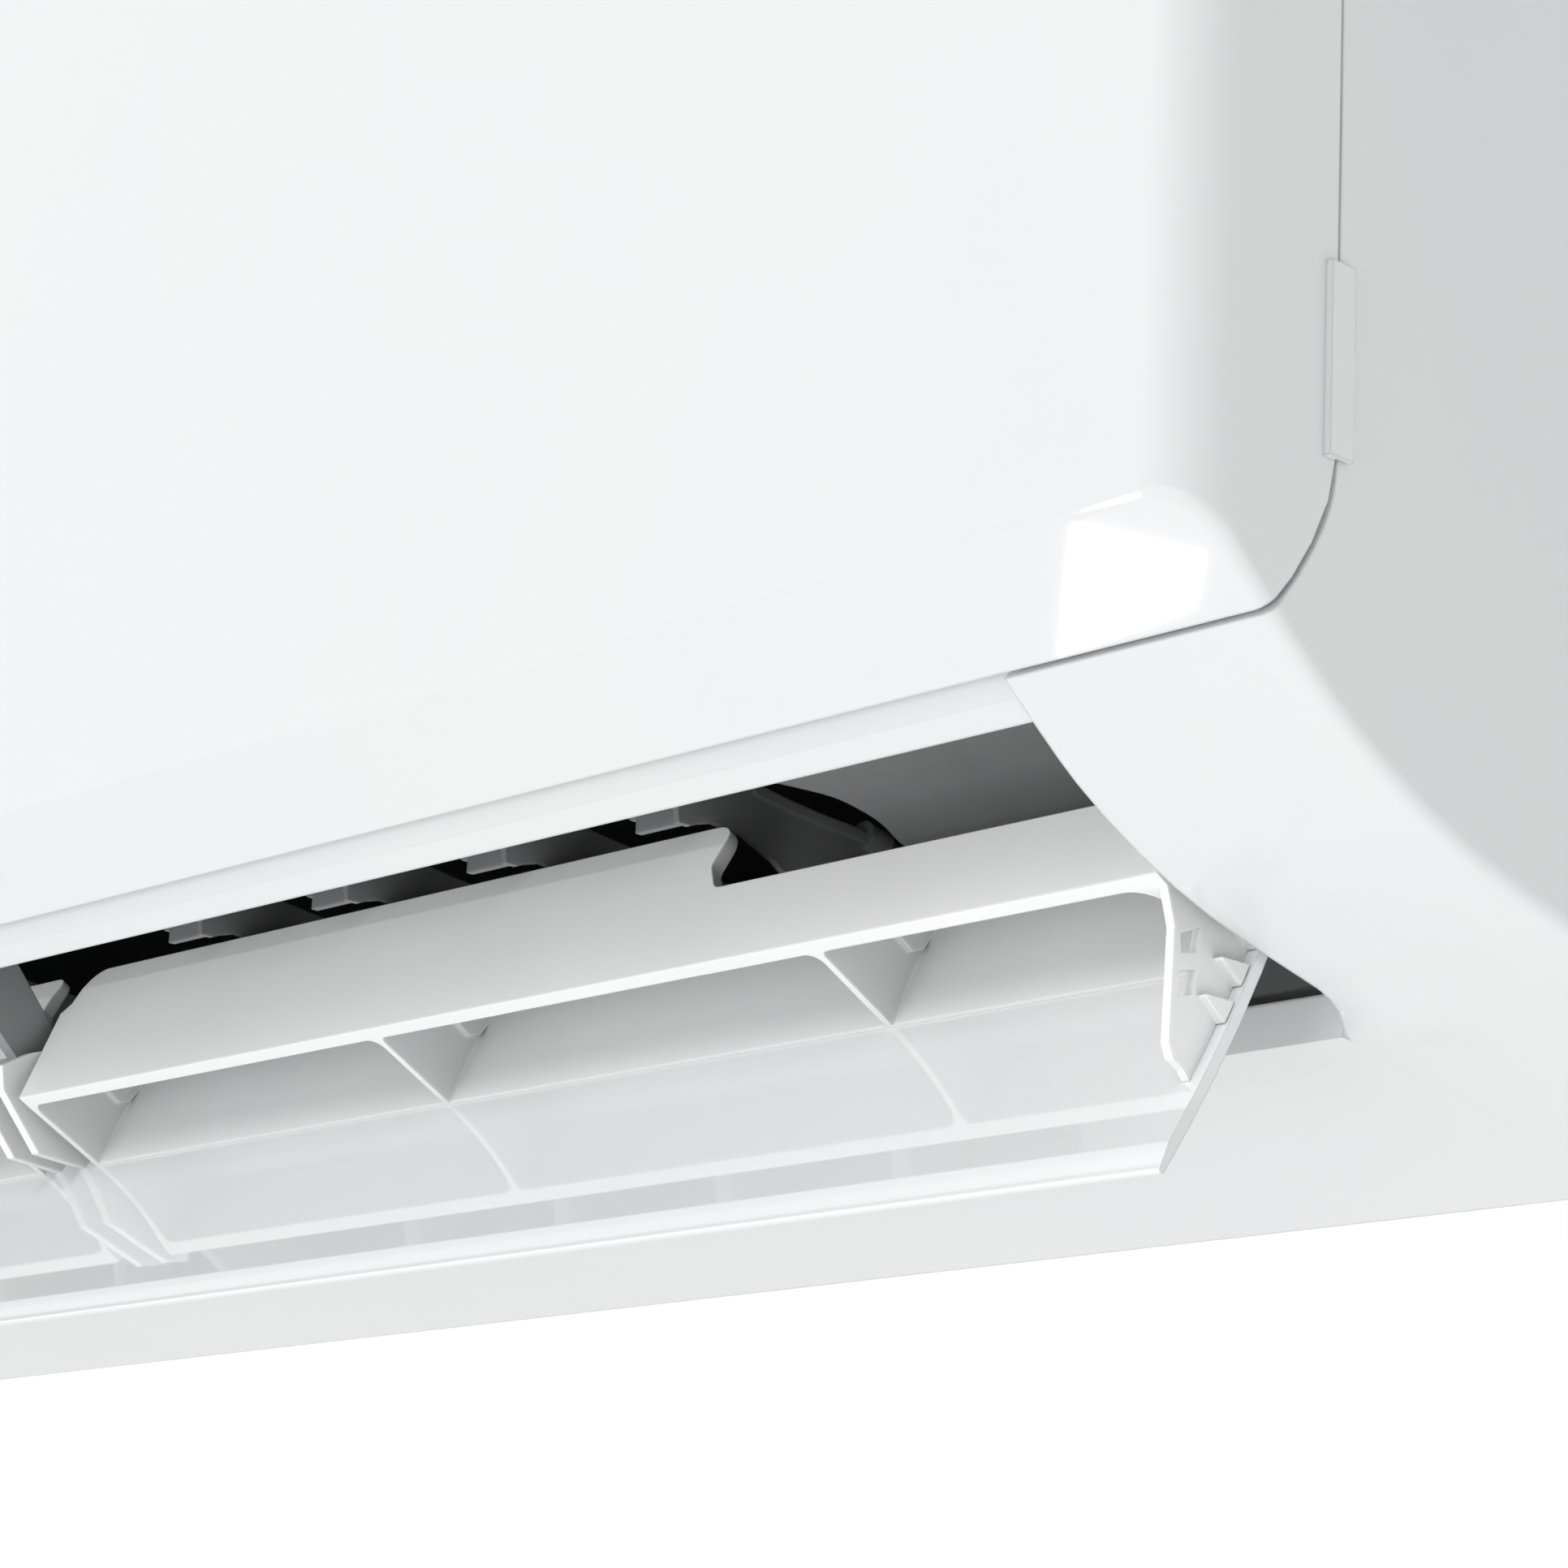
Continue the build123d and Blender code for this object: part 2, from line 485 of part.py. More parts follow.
with BuildPart() as vane_half:
    prism(body_pts, 10, 342)
    # blade
    with BuildSketch(BLADE_PL) as bs:
        with BuildLine():
            Polyline((10, 0), (342, 0), (342, 20.4), (222.5, 20.4), (217.7, 27.0), (218.3, 39.0), (6.2, 39.0), (5.6, 28.4),
                     (3.4, 25.6), close=True)
        make_face()
        fillet([q for q in bs.vertices() if abs(q.X - 6.2) < 0.1], radius=4)
        fillet([q for q in bs.vertices() if abs(q.X - 218.3) < 0.1], radius=6.5)
        fillet([q for q in bs.vertices() if abs(q.X - 222.5) < 0.1], radius=3.2)
        fillet([q for q in bs.vertices() if abs(q.X - 217.7) < 0.1], radius=3.2)
    extrude(bs.sketch, amount=-BT)
    # lead-in along the top of the tall part
    with BuildSketch(Plane.YZ.offset(2)) as wedge:
        with BuildLine():
            Polyline(up_blade(32.5, BT + 0.02), up_blade(40, BT - 1.1), up_blade(40, BT + 1), close=True)
        make_face()
    extrude(wedge.sketch, amount=230, mode=Mode.SUBTRACT)
    # rounded ear beside the middle support
    with BuildSketch(Plane.YZ.offset(3.5)) as ear:
        with BuildLine():
            Polyline((-124.6, -104.6), (-131.6, -108.6), (-130.6, -114.0), (-120.0, -126.4), J, vane_pt(0.62, VANE_T),
                     vane_pt(0.7, VANE_T), vane_pt(0.8, VANE_T), vane_pt(0.9, VANE_T), RT, (RT[0] - 6, RT[1] - 1.0),
                     up_blade(17.0, 1.0), up_blade(17.5, 0.0), close=True)
        make_face()
        fillet([q for q in ear.vertices() if math.hypot(q.Y + 124.6, q.Z + 104.6) < 0.1], radius=2.5)
        fillet([q for q in ear.vertices() if math.hypot(q.Y + 131.6, q.Z + 108.6) < 0.1], radius=4)
    extrude(ear.sketch, amount=2.6)
    # end wall, which reaches down the plate
    prism([up_blade(0.6, 0.6), (-124.3, -124.0), (-125.0, -143.6), (-123.8, -146.2), (-121.2, -147.4), vane_pt(0.245, VANE_T)] +
          [vane_pt(t, VANE_T) for t in (0.35, 0.45, 0.55, 0.7, 0.85)] + [RT, up_blade(17, 1.0)], 340.2, 342)
    add(vane_pocket(11.8, RIBS[0] - 0.8, 3.0, 3.0), mode=Mode.SUBTRACT)
    add(vane_pocket(RIBS[0] + 0.8, RIBS[1] - 0.8, 1.6, 3.0), mode=Mode.SUBTRACT)
    add(vane_pocket(RIBS[1] + 0.8, 340.2, 1.6, 8.0), mode=Mode.SUBTRACT)
    # raised pads on the ribs
    for x in [11.7] + [r + 0.7 for r in RIBS]:
        prism([(-117.5, -103.4), (-111, -109.4), (-104.6, -113.2), (-102.2, -112.6), (-97.6, -106.4), (-99, -101.5)], x, x + 1.5)
    # small stiffeners and windows outside the end wall
    for z0, z1 in ((-124.5, -120.5), (-131.5, -127.5), (-138.5, -134.5)):
        prism([(plate_y(z0) - 0.3, z0), (plate_y(z1) - 0.3, z1), (plate_y(z1) - 7.5, z1)], 341.9, 344.0)
    prism([(-122.8, -125.0), (-117.8, -123.0), (-118.6, -127.4), (-122.6, -128.2)], 339, 343, Mode.SUBTRACT)
    prism([(-123.0, -131.2), (-118.9, -130.4), (-119.6, -134.6), (-122.9, -135.6)], 339, 343, Mode.SUBTRACT)
    # pivot hub and middle pin
    rod_x(338.6, 343.6, PIV[0], PIV[1], 5.4)
    rod_x(343.5, 352.5, PIV[0], PIV[1], 3.5)
    rod_x(-0.1, 10.4, PIV[0], PIV[1], 2.5)
    rod_x(4.0, 10.4, PIV[0], PIV[1], 4.4)
with BuildPart() as vane_inner:
    add(vane_half.part)
    mirror(vane_half.part, about=Plane.YZ)
vane_inner.part.label = "vane_inner"
export_step(vane_inner.part, "parts/vane_inner.step")

# ---------------------------------------------------------------- front panel
with BuildPart() as panel_core:
    with BuildSketch(Plane.XY.offset(-92.1)) as core_sk:
        with Locations((0, -168.25)):
            Rectangle(2 * (HALF_W - SKIN), 36.5)
        fillet([v for v in core_sk.vertices() if v.Y < -180], radius=8.0)
    extrude(amount=222.1)
    with BuildSketch(Plane.YZ.offset(-402)) as core_sec:
        with BuildLine():
            Line((-183.2, 131), (-183.2, 125.3))
            ThreePointArc((-183.2, 125.3), (-185.5335, 124.3335), (-186.5, 122.0))
            Polyline((-186.5, 122.0), (-191, 122.0), (-191, -73.0), (-187.36, -76.2), (-169.1, -92.14), (-149, -92.14),
                     (-149, 131), (-183.2, 131))
        make_face()
    extrude(core_sec.sketch, amount=804, mode=Mode.INTERSECT)

with BuildPart() as front_panel:
    with BuildSketch(Plane.XY.offset(-100)) as blk:
        with Locations((0, (FRONT - 156.7) / 2)):
            Rectangle(2 * HALF_W, 32.3)
        fillet([v for v in blk.vertices() if v.Y < -180], radius=CORNER)
    extrude(amount=230)
    with BuildSketch(Plane.YZ.offset(-402)) as sec:
        with BuildLine():
            ThreePointArc((-183.2, 127.8), (-187.3012, 126.1012), (-189.0, 122.0))
            Polyline((-189.0, 122.0), (-192.0, 122.0), (-192.0, -75.477), (-171.5, -93.4), (-166.4, -87.5), (-161.8, -80.6),
                     (-158.2, -73.0), (-156.7, -66.0), (-156.7, 121.5), (-177.4216, 121.5))
            ThreePointArc((-177.4216, 121.5), (-178.9, 125.887), (-183.2, 127.8))
        make_face()
    extrude(sec.sketch, amount=804, mode=Mode.INTERSECT)
    chin = front_panel.faces().filter_by(lambda f: abs(f.normal_at().Z + 0.7527) < 0.03 and abs(f.normal_at().Y + 0.6583) < 0.03)
    crease = chin.edges().filter_by(lambda e: e.center().Z > -92.9)
    fillet(crease, radius=3.0)
    add(panel_core.part, mode=Mode.SUBTRACT)
    for s in (-1, 1):
        # hinge pins and finger tabs
        a, b = (386.0, 399.5) if s > 0 else (-399.5, -386.0)
        rod_x(a, b, HINGE[0], HINGE[1], 1.5)
        c, d = (399.5, 402.4) if s > 0 else (-402.4, -399.5)
        e, f = (401.4, 402.4) if s > 0 else (-402.4, -401.4)
        block(c, d, -159.5, -156.9, -66, -34)
        block(e, f, -157.5, -153.9, -66, -34)
    # stiffening ribs on the panel's inner face
    for x in (-330, -165, 0, 165, 330):
        block(x - 0.8, x + 0.8, -187.2, -184.2, 96, 116)
    block(-392, 392, -187.2, -184.6, 112.0, 113.6)
front_panel.part.label = "front_panel"
export_step(front_panel.part, "parts/front_panel.step")

# ---------------------------------------------------------------- vertical louvers
UPPER = [(-98.6, -71.3), (-90.0, -72.5), (-80.0, -73.5), (-71.0, -74.0), (-64.8, -75.0)]
BLADE = [(-137.5, -66.5), (-126.0, -65.5), (-112.0, -67.0)] + UPPER + [
    (-63.5, -77.0), (-63.5, -85.0), (-70.0, -88.5), (-80.0, -89.0), (-86.0, -89.0), (-92.0, -85.3), (-100.0, -82.2),
    (-108.0, -81.3), (-111.5, -82.2), (-114.0, -83.2), (-117.2, -83.2), (-117.6, -80.4), (-121.0, -79.8), (-130.0, -83.2),
    (-139.83, -86.0)]
DRIVEN = (-311.0, 209.0)

for number, x in enumerate(LOUVER_X, 1):
    with BuildPart() as louver:
        prism(BLADE, x - 0.8, x + 0.8)
        # pivot pin with its collar
        start = -39.0 if x in DRIVEN else -47.0
        z_start = AX_P[1] + (start - AX_P[0]) / AX_U[0] * AX_U[1]
        rod_u(x, start, z_start, (-68.0 - start) / AX_U[0], 2.0)
        rod_u(x, -62.4, AX_P[1] + (-62.4 - AX_P[0]) / AX_U[0] * AX_U[1], 6.0, 3.2)
        # link pin with its cheeks
        prism([(-138.2, -78.4), (-128.0, -77.4), (-126.5, -80.0), (-129.5, -82.6), (-138.4, -85.0)], x - 2.4, x + 2.4)
        rod_u(x, -134.5, -82.35, 8.4, 1.5)
        # open clip on the left of the front edge
        with BuildSketch(Plane.XZ.offset(115.0)) as clip:
            with BuildLine():
                Polyline((x + 0.8, -83.2), (x + 0.8, -76.0), (x - 9.5, -76.0), (x - 9.5, -77.7), (x - 3.6, -77.7), (x - 3.6, -79.0),
                         (x - 14.6, -79.0), (x - 14.6, -80.3), (x - 12.4, -80.3), (x - 12.4, -83.2), close=True)
            make_face()
            fillet([q for q in clip.vertices() if abs(q.X - x + 12.4) < 0.1 and abs(q.Z + 83.2) < 0.1], radius=2.2)
            fillet([q for q in clip.vertices() if abs(q.X - x + 14.6) < 0.1], radius=0.5)
        extrude(clip.sketch, amount=1.6)
        if x == 209.0:
            # thick rounded upper edge
            prism(UPPER + [(p[0], p[1] - 2.1) for p in UPPER[::-1]], x - 1.5, x + 1.5)
    louver.part.label = f"louver_{number}"
    export_step(louver.part, f"parts/louver_{number}.step")

for side, xs in (("left", LOUVER_X[:6]), ("right", LOUVER_X[6:])):
    with BuildPart() as link_bar:
        pl = Plane(origin=(0, -139.95, -81.34), x_dir=(1, 0, 0), z_dir=(0, AX_U[0], AX_U[1]))
        with BuildSketch(pl):
            with Locations(((xs[0] + xs[-1]) / 2, 0)):
                SlotOverall(xs[-1] - xs[0] + 12, 7.5)
            with Locations(*[(x, 0) for x in xs]):
                Circle(1.55, mode=Mode.SUBTRACT)
        extrude(amount=1.6)
    link_bar.part.label = f"link_bar_{side}"
    export_step(link_bar.part, f"parts/link_bar_{side}.step")

# ---------------------------------------------------------------- cross-flow fan and its shaft
with BuildSketch() as fan_blade:
    with BuildLine():
        ThreePointArc((35.6, -2.2), (41.0, 0.9), (44.9, 5.6))
        ThreePointArc((45.3, 4.7), (41.9, -0.4), (36.4, -3.2))
        Line((35.6, -2.2), (36.4, -3.2))
        Line((44.9, 5.6), (45.3, 4.7))
    make_face()

with BuildPart() as cross_flow_fan:
    with BuildSketch(Plane.YZ.offset(FAN_X0)) as blades:
        with Locations(FAN):
            with PolarLocations(0, 34):
                add(fan_blade.sketch)
    extrude(blades.sketch, amount=FAN_X1 - FAN_X0)
    for x in [FAN_X0, -252.5, -154.0, -55.5, 43.0, 141.5]:
        with BuildSketch(Plane.YZ.offset(x)):
            with Locations(FAN):
                Circle(FAN_R)
                Circle(34.0 if x > FAN_X0 else 3.0, mode=Mode.SUBTRACT)
        extrude(amount=2.4)
    rod_x(FAN_X1 - 2.4, FAN_X1, FAN[0], FAN[1], FAN_R)
    rod_x(222, FAN_X1, FAN[0], FAN[1], 11)
    rod_x(FAN_X0, -342, FAN[0], FAN[1], 8)
    rod_x(227, 241, FAN[0], FAN[1], 4.0, Mode.SUBTRACT)
    rod_x(-352, -344, FAN[0], FAN[1], 3.0, Mode.SUBTRACT)
cross_flow_fan.part.label = "cross_flow_fan"
export_step(cross_flow_fan.part, "parts/cross_flow_fan.step")

with BuildPart() as fan_shafts:
    rod_x(227, 298, FAN[0], FAN[1], 4.0)
    rod_x(-361.6, -344, FAN[0], FAN[1], 3.0)
fan_shafts.part.label = "fan_shafts"
export_step(fan_shafts.part, "parts/fan_shafts.step")

with BuildPart() as fan_bearing:
    rod_x(-362, -354, FAN[0], FAN[1], 12)
    rod_x(-363, -353, FAN[0], FAN[1], 3.05, Mode.SUBTRACT)
fan_bearing.part.label = "fan_bearing"
export_step(fan_bearing.part, "parts/fan_bearing.step")

# ---------------------------------------------------------------- fan motor and its holder
with BuildPart() as fan_motor:
    rod_x(260, 314, FAN[0], FAN[1], 40)
    fillet(fan_motor.edges().filter_by(GeomType.CIRCLE), radius=6)
    rod_x(285, 289, FAN[0], FAN[1], 41.5)
    rod_x(253, 260.5, FAN[0], FAN[1], 16)
    rod_x(313.5, 322, FAN[0], FAN[1], 16)
    block(262, 282, -136, -128, -18, -2)
    rod_x(252, 323, FAN[0], FAN[1], 4.05, Mode.SUBTRACT)
fan_motor.part.label = "fan_motor"
export_step(fan_motor.part, "parts/fan_motor.step")

with BuildPart() as motor_cushions:
    for a, b in ((253.5, 257.5), (316.5, 320.5)):
        rod_x(a, b, FAN[0], FAN[1], 22)
        rod_x(a - 1, b + 1, FAN[0], FAN[1], 16, Mode.SUBTRACT)
motor_cushions.part.label = "motor_cushions"
export_step(motor_cushions.part, "parts/motor_cushions.step")

with BuildPart() as motor_bracket:
    prism([(-128, -57.9), (-56, -57.9), (-56, 14), (-70, 34), (-74, 40), (-118, 40), (-128, 30)], 253.5, 257.5)
    prism([(-128, -57.9), (-123, -78.4), (-100, -78.4), (-56, -57.9), (-56, 14), (-70, 34), (-74, 40), (-118, 40), (-128, 30)],
          316.5, 320.5)
    block(253.5, 320.5, -118, -74, 36, 40)
    block(253.5, 320.5, -59, -56, -56, -44)
    for a, b in ((252, 259), (315, 322)):
        rod_x(a, b, FAN[0], FAN[1], 22, Mode.SUBTRACT)
motor_bracket.part.label = "motor_bracket"
export_step(motor_bracket.part, "parts/motor_bracket.step")

# ---------------------------------------------------------------- evaporator: three finned slabs
COIL_X0, COIL_X1 = -326.0, 252.0
SLABS = {"front": ((-157.2, -62.0), (-157.2, 22.0), 9.2), "top": ((-157.0, 28.0), (-98.0, 121.0), 10.0),
         "rear": ((-80.0, 117.0), (-31.0, 33.0), 10.0)}


def along(slab, s, off):
    (y0, z0), (y1, z1), h = SLABS[slab]
    l = math.hypot(y1 - y0, z1 - z0)
    d = ((y1 - y0) / l, (z1 - z0) / l)
    return (y0 + d[0] * s - d[1] * off, z0 + d[1] * s + d[0] * off)


FINS = 145                # fins of each slab
FIN_T = 0.8
CORE = 1.0                # half thickness of the middle web that stands for the tube rows


def comb(h):
    """outline of a slab cut across its fins"""
    step = (COIL_X1 - COIL_X0 - FIN_T) / (FINS - 1)
    up, down = [], []
    for k in range(FINS):
        x = COIL_X0 + step * k
        up += [(x, CORE), (x, h), (x + FIN_T, h), (x + FIN_T, CORE)]
        down += [(x, -CORE), (x, -h), (x + FIN_T, -h), (x + FIN_T, -CORE)]
    return up[1:-1] + down[1:-1][::-1]


for slab, ((y0, z0), (y1, z1), h) in SLABS.items():
    length = math.hypot(y1 - y0, z1 - z0)
    with BuildPart() as evaporator:
        with BuildSketch(Plane(origin=(0, y0, z0), x_dir=(1, 0, 0), z_dir=(0, y1 - y0, z1 - z0))):
            with BuildLine():
                Polyline(*comb(h), close=True)
            make_face()
        extrude(amount=length)
    evaporator.part.label = f"evaporator_{slab}"
    export_step(evaporator.part, f"parts/evaporator_{slab}.step")

TUBE_PLATE = [(-166.6, -64), (-148.0, -64), (-147.6, 20), (-88.5, 108), (-39, 26), (-21, 36), (-72, 126), (-92, 134),
              (-108, 128), (-166.6, 36)]
for side, a, b in (("left", COIL_X0 - 2, COIL_X0), ("right", COIL_X1, COIL_X1 + 2)):
    with BuildPart() as tube_plate:
        prism(TUBE_PLATE, a, b)
        if side == "right":
            block(COIL_X1, COIL_X1 + 10, -166.6, -148.4, -60, -58.4)
    tube_plate.part.label = f"tube_plate_{side}"
    export_step(tube_plate.part, f"parts/tube_plate_{side}.step")

with BuildPart() as return_bends:
    for slab, count in (("front", 4), ("top", 5), ("rear", 4)):
        for off in (-4.9, 4.9):
            for end in (-1, 1):
                k0 = 0 if (end < 0) == (off < 0) else 1
                for k in range(k0, count - 1, 2):
                    p = along(slab, 9.5 + 21 * k, off)
                    q = along(slab, 9.5 + 21 * (k + 1), off)
                    xf = COIL_X0 - 2 if end < 0 else COIL_X1 + 2
                    m = ((p[0] + q[0]) / 2, (p[1] + q[1]) / 2)
                    with BuildLine() as bend:
                        ThreePointArc((xf, p[0], p[1]), (xf + end * 10.5, m[0], m[1]), (xf, q[0], q[1]))
                    with BuildSketch(Plane(origin=(xf, p[0], p[1]), x_dir=(0, 1, 0), z_dir=(end, 0, 0))):
                        Circle(3.5)
                    sweep(path=bend.wires()[0])
return_bends.part.label = "return_bends"
export_step(return_bends.part, "parts/return_bends.step")


# ---------------------------------------------------------------- pipes, unions and drain
def pipe(pts, r, bend, inner=None):
    with BuildLine() as route:
        FilletPolyline(*pts, radius=bend)
    w = route.wires()[0]
    with BuildSketch(Plane(origin=w @ 0, z_dir=w % 0)) as ring:
        Circle(r)
        if inner:
            Circle(inner, mode=Mode.SUBTRACT)
    sweep(ring.sketch, path=w)


SUCTION_AT = along("rear", 9.5 + 63, -4.9)
LIQUID_AT = along("front", 9.5 + 63, -4.9)
with BuildPart() as suction_pipe:
    pipe([(254, SUCTION_AT[0], SUCTION_AT[1]), (330, SUCTION_AT[0], SUCTION_AT[1]), (330, -24, SUCTION_AT[1]),
          (330, -24, -60), (140, -24, -60)], 4.7625, 11)
suction_pipe.part.label = "suction_pipe"
export_step(suction_pipe.part, "parts/suction_pipe.step")

with BuildPart() as liquid_pipe:
    pipe([(254, LIQUID_AT[0], LIQUID_AT[1]), (341, LIQUID_AT[0], LIQUID_AT[1]), (341, -18, LIQUID_AT[1]),
          (341, -18, -85), (165, -18, -85)], 3.175, 12)
liquid_pipe.part.label = "liquid_pipe"
export_step(liquid_pipe.part, "parts/liquid_pipe.step")


def union(x, y, z, r_thread, x_thread, af, x_hex, r_bore):
    """flare union: threaded nose towards -X and a hexagon behind it"""
    rod_x(x, x_thread, y, z, r_thread)
    with BuildSketch(Plane.YZ.offset(x_thread)) as hexagon:
        with Locations((y, z)):
            RegularPolygon(af / 2, 6, major_radius=False)
    extrude(hexagon.sketch, amount=x_hex - x_thread)
    with BuildSketch(Plane.YZ.offset(x)) as bore:
        with Locations((y, z)):
            Circle(r_bore)
    extrude(bore.sketch, amount=(x_hex - x) * 0.7, mode=Mode.SUBTRACT)


with BuildPart() as suction_union:
    union(112, -24, -60, UNION_GAS_R, 128, 19, 140, 4.6)
suction_union.part.label = "suction_union"
export_step(suction_union.part, "parts/suction_union.step")

with BuildPart() as liquid_union:
    union(140, -18, -85, UNION_LIQ_R, 153, 14, 165, 2.6)
liquid_union.part.label = "liquid_union"
export_step(liquid_union.part, "parts/liquid_union.step")

with BuildPart() as pipe_clamp:
    mid_wall = [q for q in offset_line(SCROLL, 1.3) if -95 < q[1] < -45]
    prism([(-12.5, mid_wall[0][1]), (-12.5, -91), (-50.5, -91)] + mid_wall[::-1], 224, 236)
    add(rear_chassis.part, mode=Mode.SUBTRACT)
    rod_x(223, 237, -24, -60, 4.7625, Mode.SUBTRACT)
    rod_x(223, 237, -18, -85, 3.175, Mode.SUBTRACT)
pipe_clamp.part.label = "pipe_clamp"
export_step(pipe_clamp.part, "parts/pipe_clamp.step")

with BuildPart() as drain_spigot:
    rod_x(345.4, 348.0, -158, -60, 8.9)
    rod_x(345, 349, -158, -60, 6.5, Mode.SUBTRACT)
    pipe([(348.0, -158, -60), (362, -158, -60), (362, -34, -60), (362, -34, -118), (250, -34, -118)], DRAIN_R, 13, 6.5)
drain_spigot.part.label = "drain_spigot"
export_step(drain_spigot.part, "parts/drain_spigot.step")

with BuildPart() as drain_plug:
    rod_x(-349, -345.4, -158, -60, 8.5)
    rod_x(-345.5, -341, -158, -60, 6.0)
drain_plug.part.label = "drain_plug"
export_step(drain_plug.part, "parts/drain_plug.step")

# ---------------------------------------------------------------- filters
for side, s in (("left", -1), ("right", 1)):
    with BuildPart() as filter_frame:
        with BuildSketch(Plane.XZ.offset(173.5)):
            with Locations((s * 183, 43.25)):
                Rectangle(358, 202.5)
                with GridLocations(59.0, 48.9, 6, 4):
                    Rectangle(56.6, 46.5, mode=Mode.SUBTRACT)
        extrude(amount=3.5)
        # the mesh lies in a recess at the back of the bars
        block(s * 183 - 175, s * 183 + 175, -174.9, -173.4, -53.5, 139.5, Mode.SUBTRACT)
        # pull tab
        block(s * 183 - 20, s * 183 + 20, -177, -174.2, 144.3, 147.0)
    filter_frame.part.label = f"filter_frame_{side}"
    export_step(filter_frame.part, f"parts/filter_frame_{side}.step")
    with BuildPart() as filter_mesh:
        block(s * 183 - 175, s * 183 + 175, -174.9, -174.2, -53.5, 139.5)
    filter_mesh.part.label = f"filter_mesh_{side}"
    export_step(filter_mesh.part, f"parts/filter_mesh_{side}.step")

# ---------------------------------------------------------------- control box on the right
with BuildPart() as control_box:
    block(296, 386, -150, -64, 46, 126)
    block(298, 384, -151, -66, 48, 124, Mode.SUBTRACT)
    for x in (299.9, 382.1):
        for z in (49.9, 122.1):
            rod_y(x, -149.9, -140, z, 2.6)
            rod_y(x, -151, -143, z, 1.2, Mode.SUBTRACT)
    block(384, 389.5, -100, -96, 60, 112)                     # foot on the chassis' end wall
control_box.part.label = "control_box"
export_step(control_box.part, "parts/control_box.step")

with BuildPart() as control_box_cover:
    block(296, 386, -152.2, -150, 46, 126)
    for k in range(6):
        block(316, 366, -153, -149, 78 + 6 * k, 80.5 + 6 * k, Mode.SUBTRACT)
    for x in (299.9, 382.1):
        for z in (49.9, 122.1):
            rod_y(x, -153, -149, z, 1.2, Mode.SUBTRACT)
control_box_cover.part.label = "control_box_cover"
export_step(control_box_cover.part, "parts/control_box_cover.step")

with BuildPart() as circuit_board:
    block(300.5, 381.5, -118, -116.4, 53, 119)
    block(304, 324, -134, -118, 98, 114)                      # transformer
    for x, z, r, h in ((334, 106, 7, 17), (350, 106, 5, 13), (363, 108, 4, 10), (374, 108, 4, 10)):
        rod_y(x, -118.1 - h, -118, z, r)
    for x in (306, 322, 338):                                 # relays
        block(x, x + 12, -130, -118, 74, 90)
    block(354, 378, -121, -118, 72, 92)                       # processor
    block(318, 332, -126, -118, 57, 66)
    rod_y(346, -122, -115, 60, 4)
    block(360, 372, -124, -118, 56, 66)
    for x, z in ((303, 56), (379, 56), (303, 116), (379, 116)):
        rod_y(x, -116.5, -66, z, 1.8)                         # stand-offs
circuit_board.part.label = "circuit_board"
export_step(circuit_board.part, "parts/circuit_board.step")

with BuildPart() as terminal_block:
    block(310, 372, -142, -128, 48.2, 51)
    block(310, 372, -140, -130, 50.5, 62)
    for k in range(6):
        block(310 + 1.6 + 10 * k, 310 + 8.8 + 10 * k, -141, -134, 56, 63, Mode.SUBTRACT)
terminal_block.part.label = "terminal_block"
export_step(terminal_block.part, "parts/terminal_block.step")

with BuildPart() as display_board:
    block(250, 330, -178.6, -177.0, -81.0, -64.5)
    for x in (256, 324):
        rod_y(x, -177.1, -173.0, -78.2, 2.2)
    for x in (300, 308, 316):
        rod_y(x, -180.4, -178.5, -70, 1.5)
    block(272, 290, -180, -178.5, -75, -68)
display_board.part.label = "display_board"
export_step(display_board.part, "parts/display_board.step")

with BuildPart() as receiver_lens:
    block(256, 265, -181.6, -178.6, -76, -67)
    rod_y(260.5, -183.0, -181.5, -71.5, 3.2)
receiver_lens.part.label = "receiver_lens"
export_step(receiver_lens.part, "parts/receiver_lens.step")

# ---------------------------------------------------------------- small motors
with BuildPart() as vane_motor:
    rod_x(349.2, 368, PIV[0], PIV[1] + 8, 14)
    block(349.2, 350.2, PIV[0] - 3.5, PIV[0] + 3.5, PIV[1] - 6.6, PIV[1] + 28)
    block(353, 366, PIV[0] - 8, PIV[0] + 8, PIV[1] + 20, PIV[1] + 24.5)
    rod_x(349, 354, PIV[0], PIV[1], 3.55, Mode.SUBTRACT)
vane_motor.part.label = "vane_motor"
export_step(vane_motor.part, "parts/vane_motor.step")

for side, x in (("left", DRIVEN[0]), ("right", DRIVEN[1])):
    with BuildPart() as louver_motor:
        zc = AX_P[1] + (-29.5 - AX_P[0]) / AX_U[0] * AX_U[1]
        rod_u(x, -29.5, zc, 14.6, 12)
        rod_u(x, -43.5, AX_P[1] + (-43.5 - AX_P[0]) / AX_U[0] * AX_U[1], 1.2, 5)
        rod_u(x, -37.5, AX_P[1] + (-37.5 - AX_P[0]) / AX_U[0] * AX_U[1], 9, 2.05, Mode.SUBTRACT)
    louver_motor.part.label = f"louver_motor_{side}"
    export_step(louver_motor.part, f"parts/louver_motor_{side}.step")

with BuildPart() as pipe_sensor:
    rod_x(276, 300, SUCTION_AT[0], SUCTION_AT[1] + 7.8, 3.0)
    rod_x(272, 276.5, SUCTION_AT[0], SUCTION_AT[1] + 7.8, 1.6)
pipe_sensor.part.label = "pipe_sensor"
export_step(pipe_sensor.part, "parts/pipe_sensor.step")

# ---------------------------------------------------------------- push button behind the panel
with BuildPart() as auto_button:
    rod_y(BUTTON_X, -183.0, -173.2, -40, 4.0)
auto_button.part.label = "auto_button"
export_step(auto_button.part, "parts/auto_button.step")

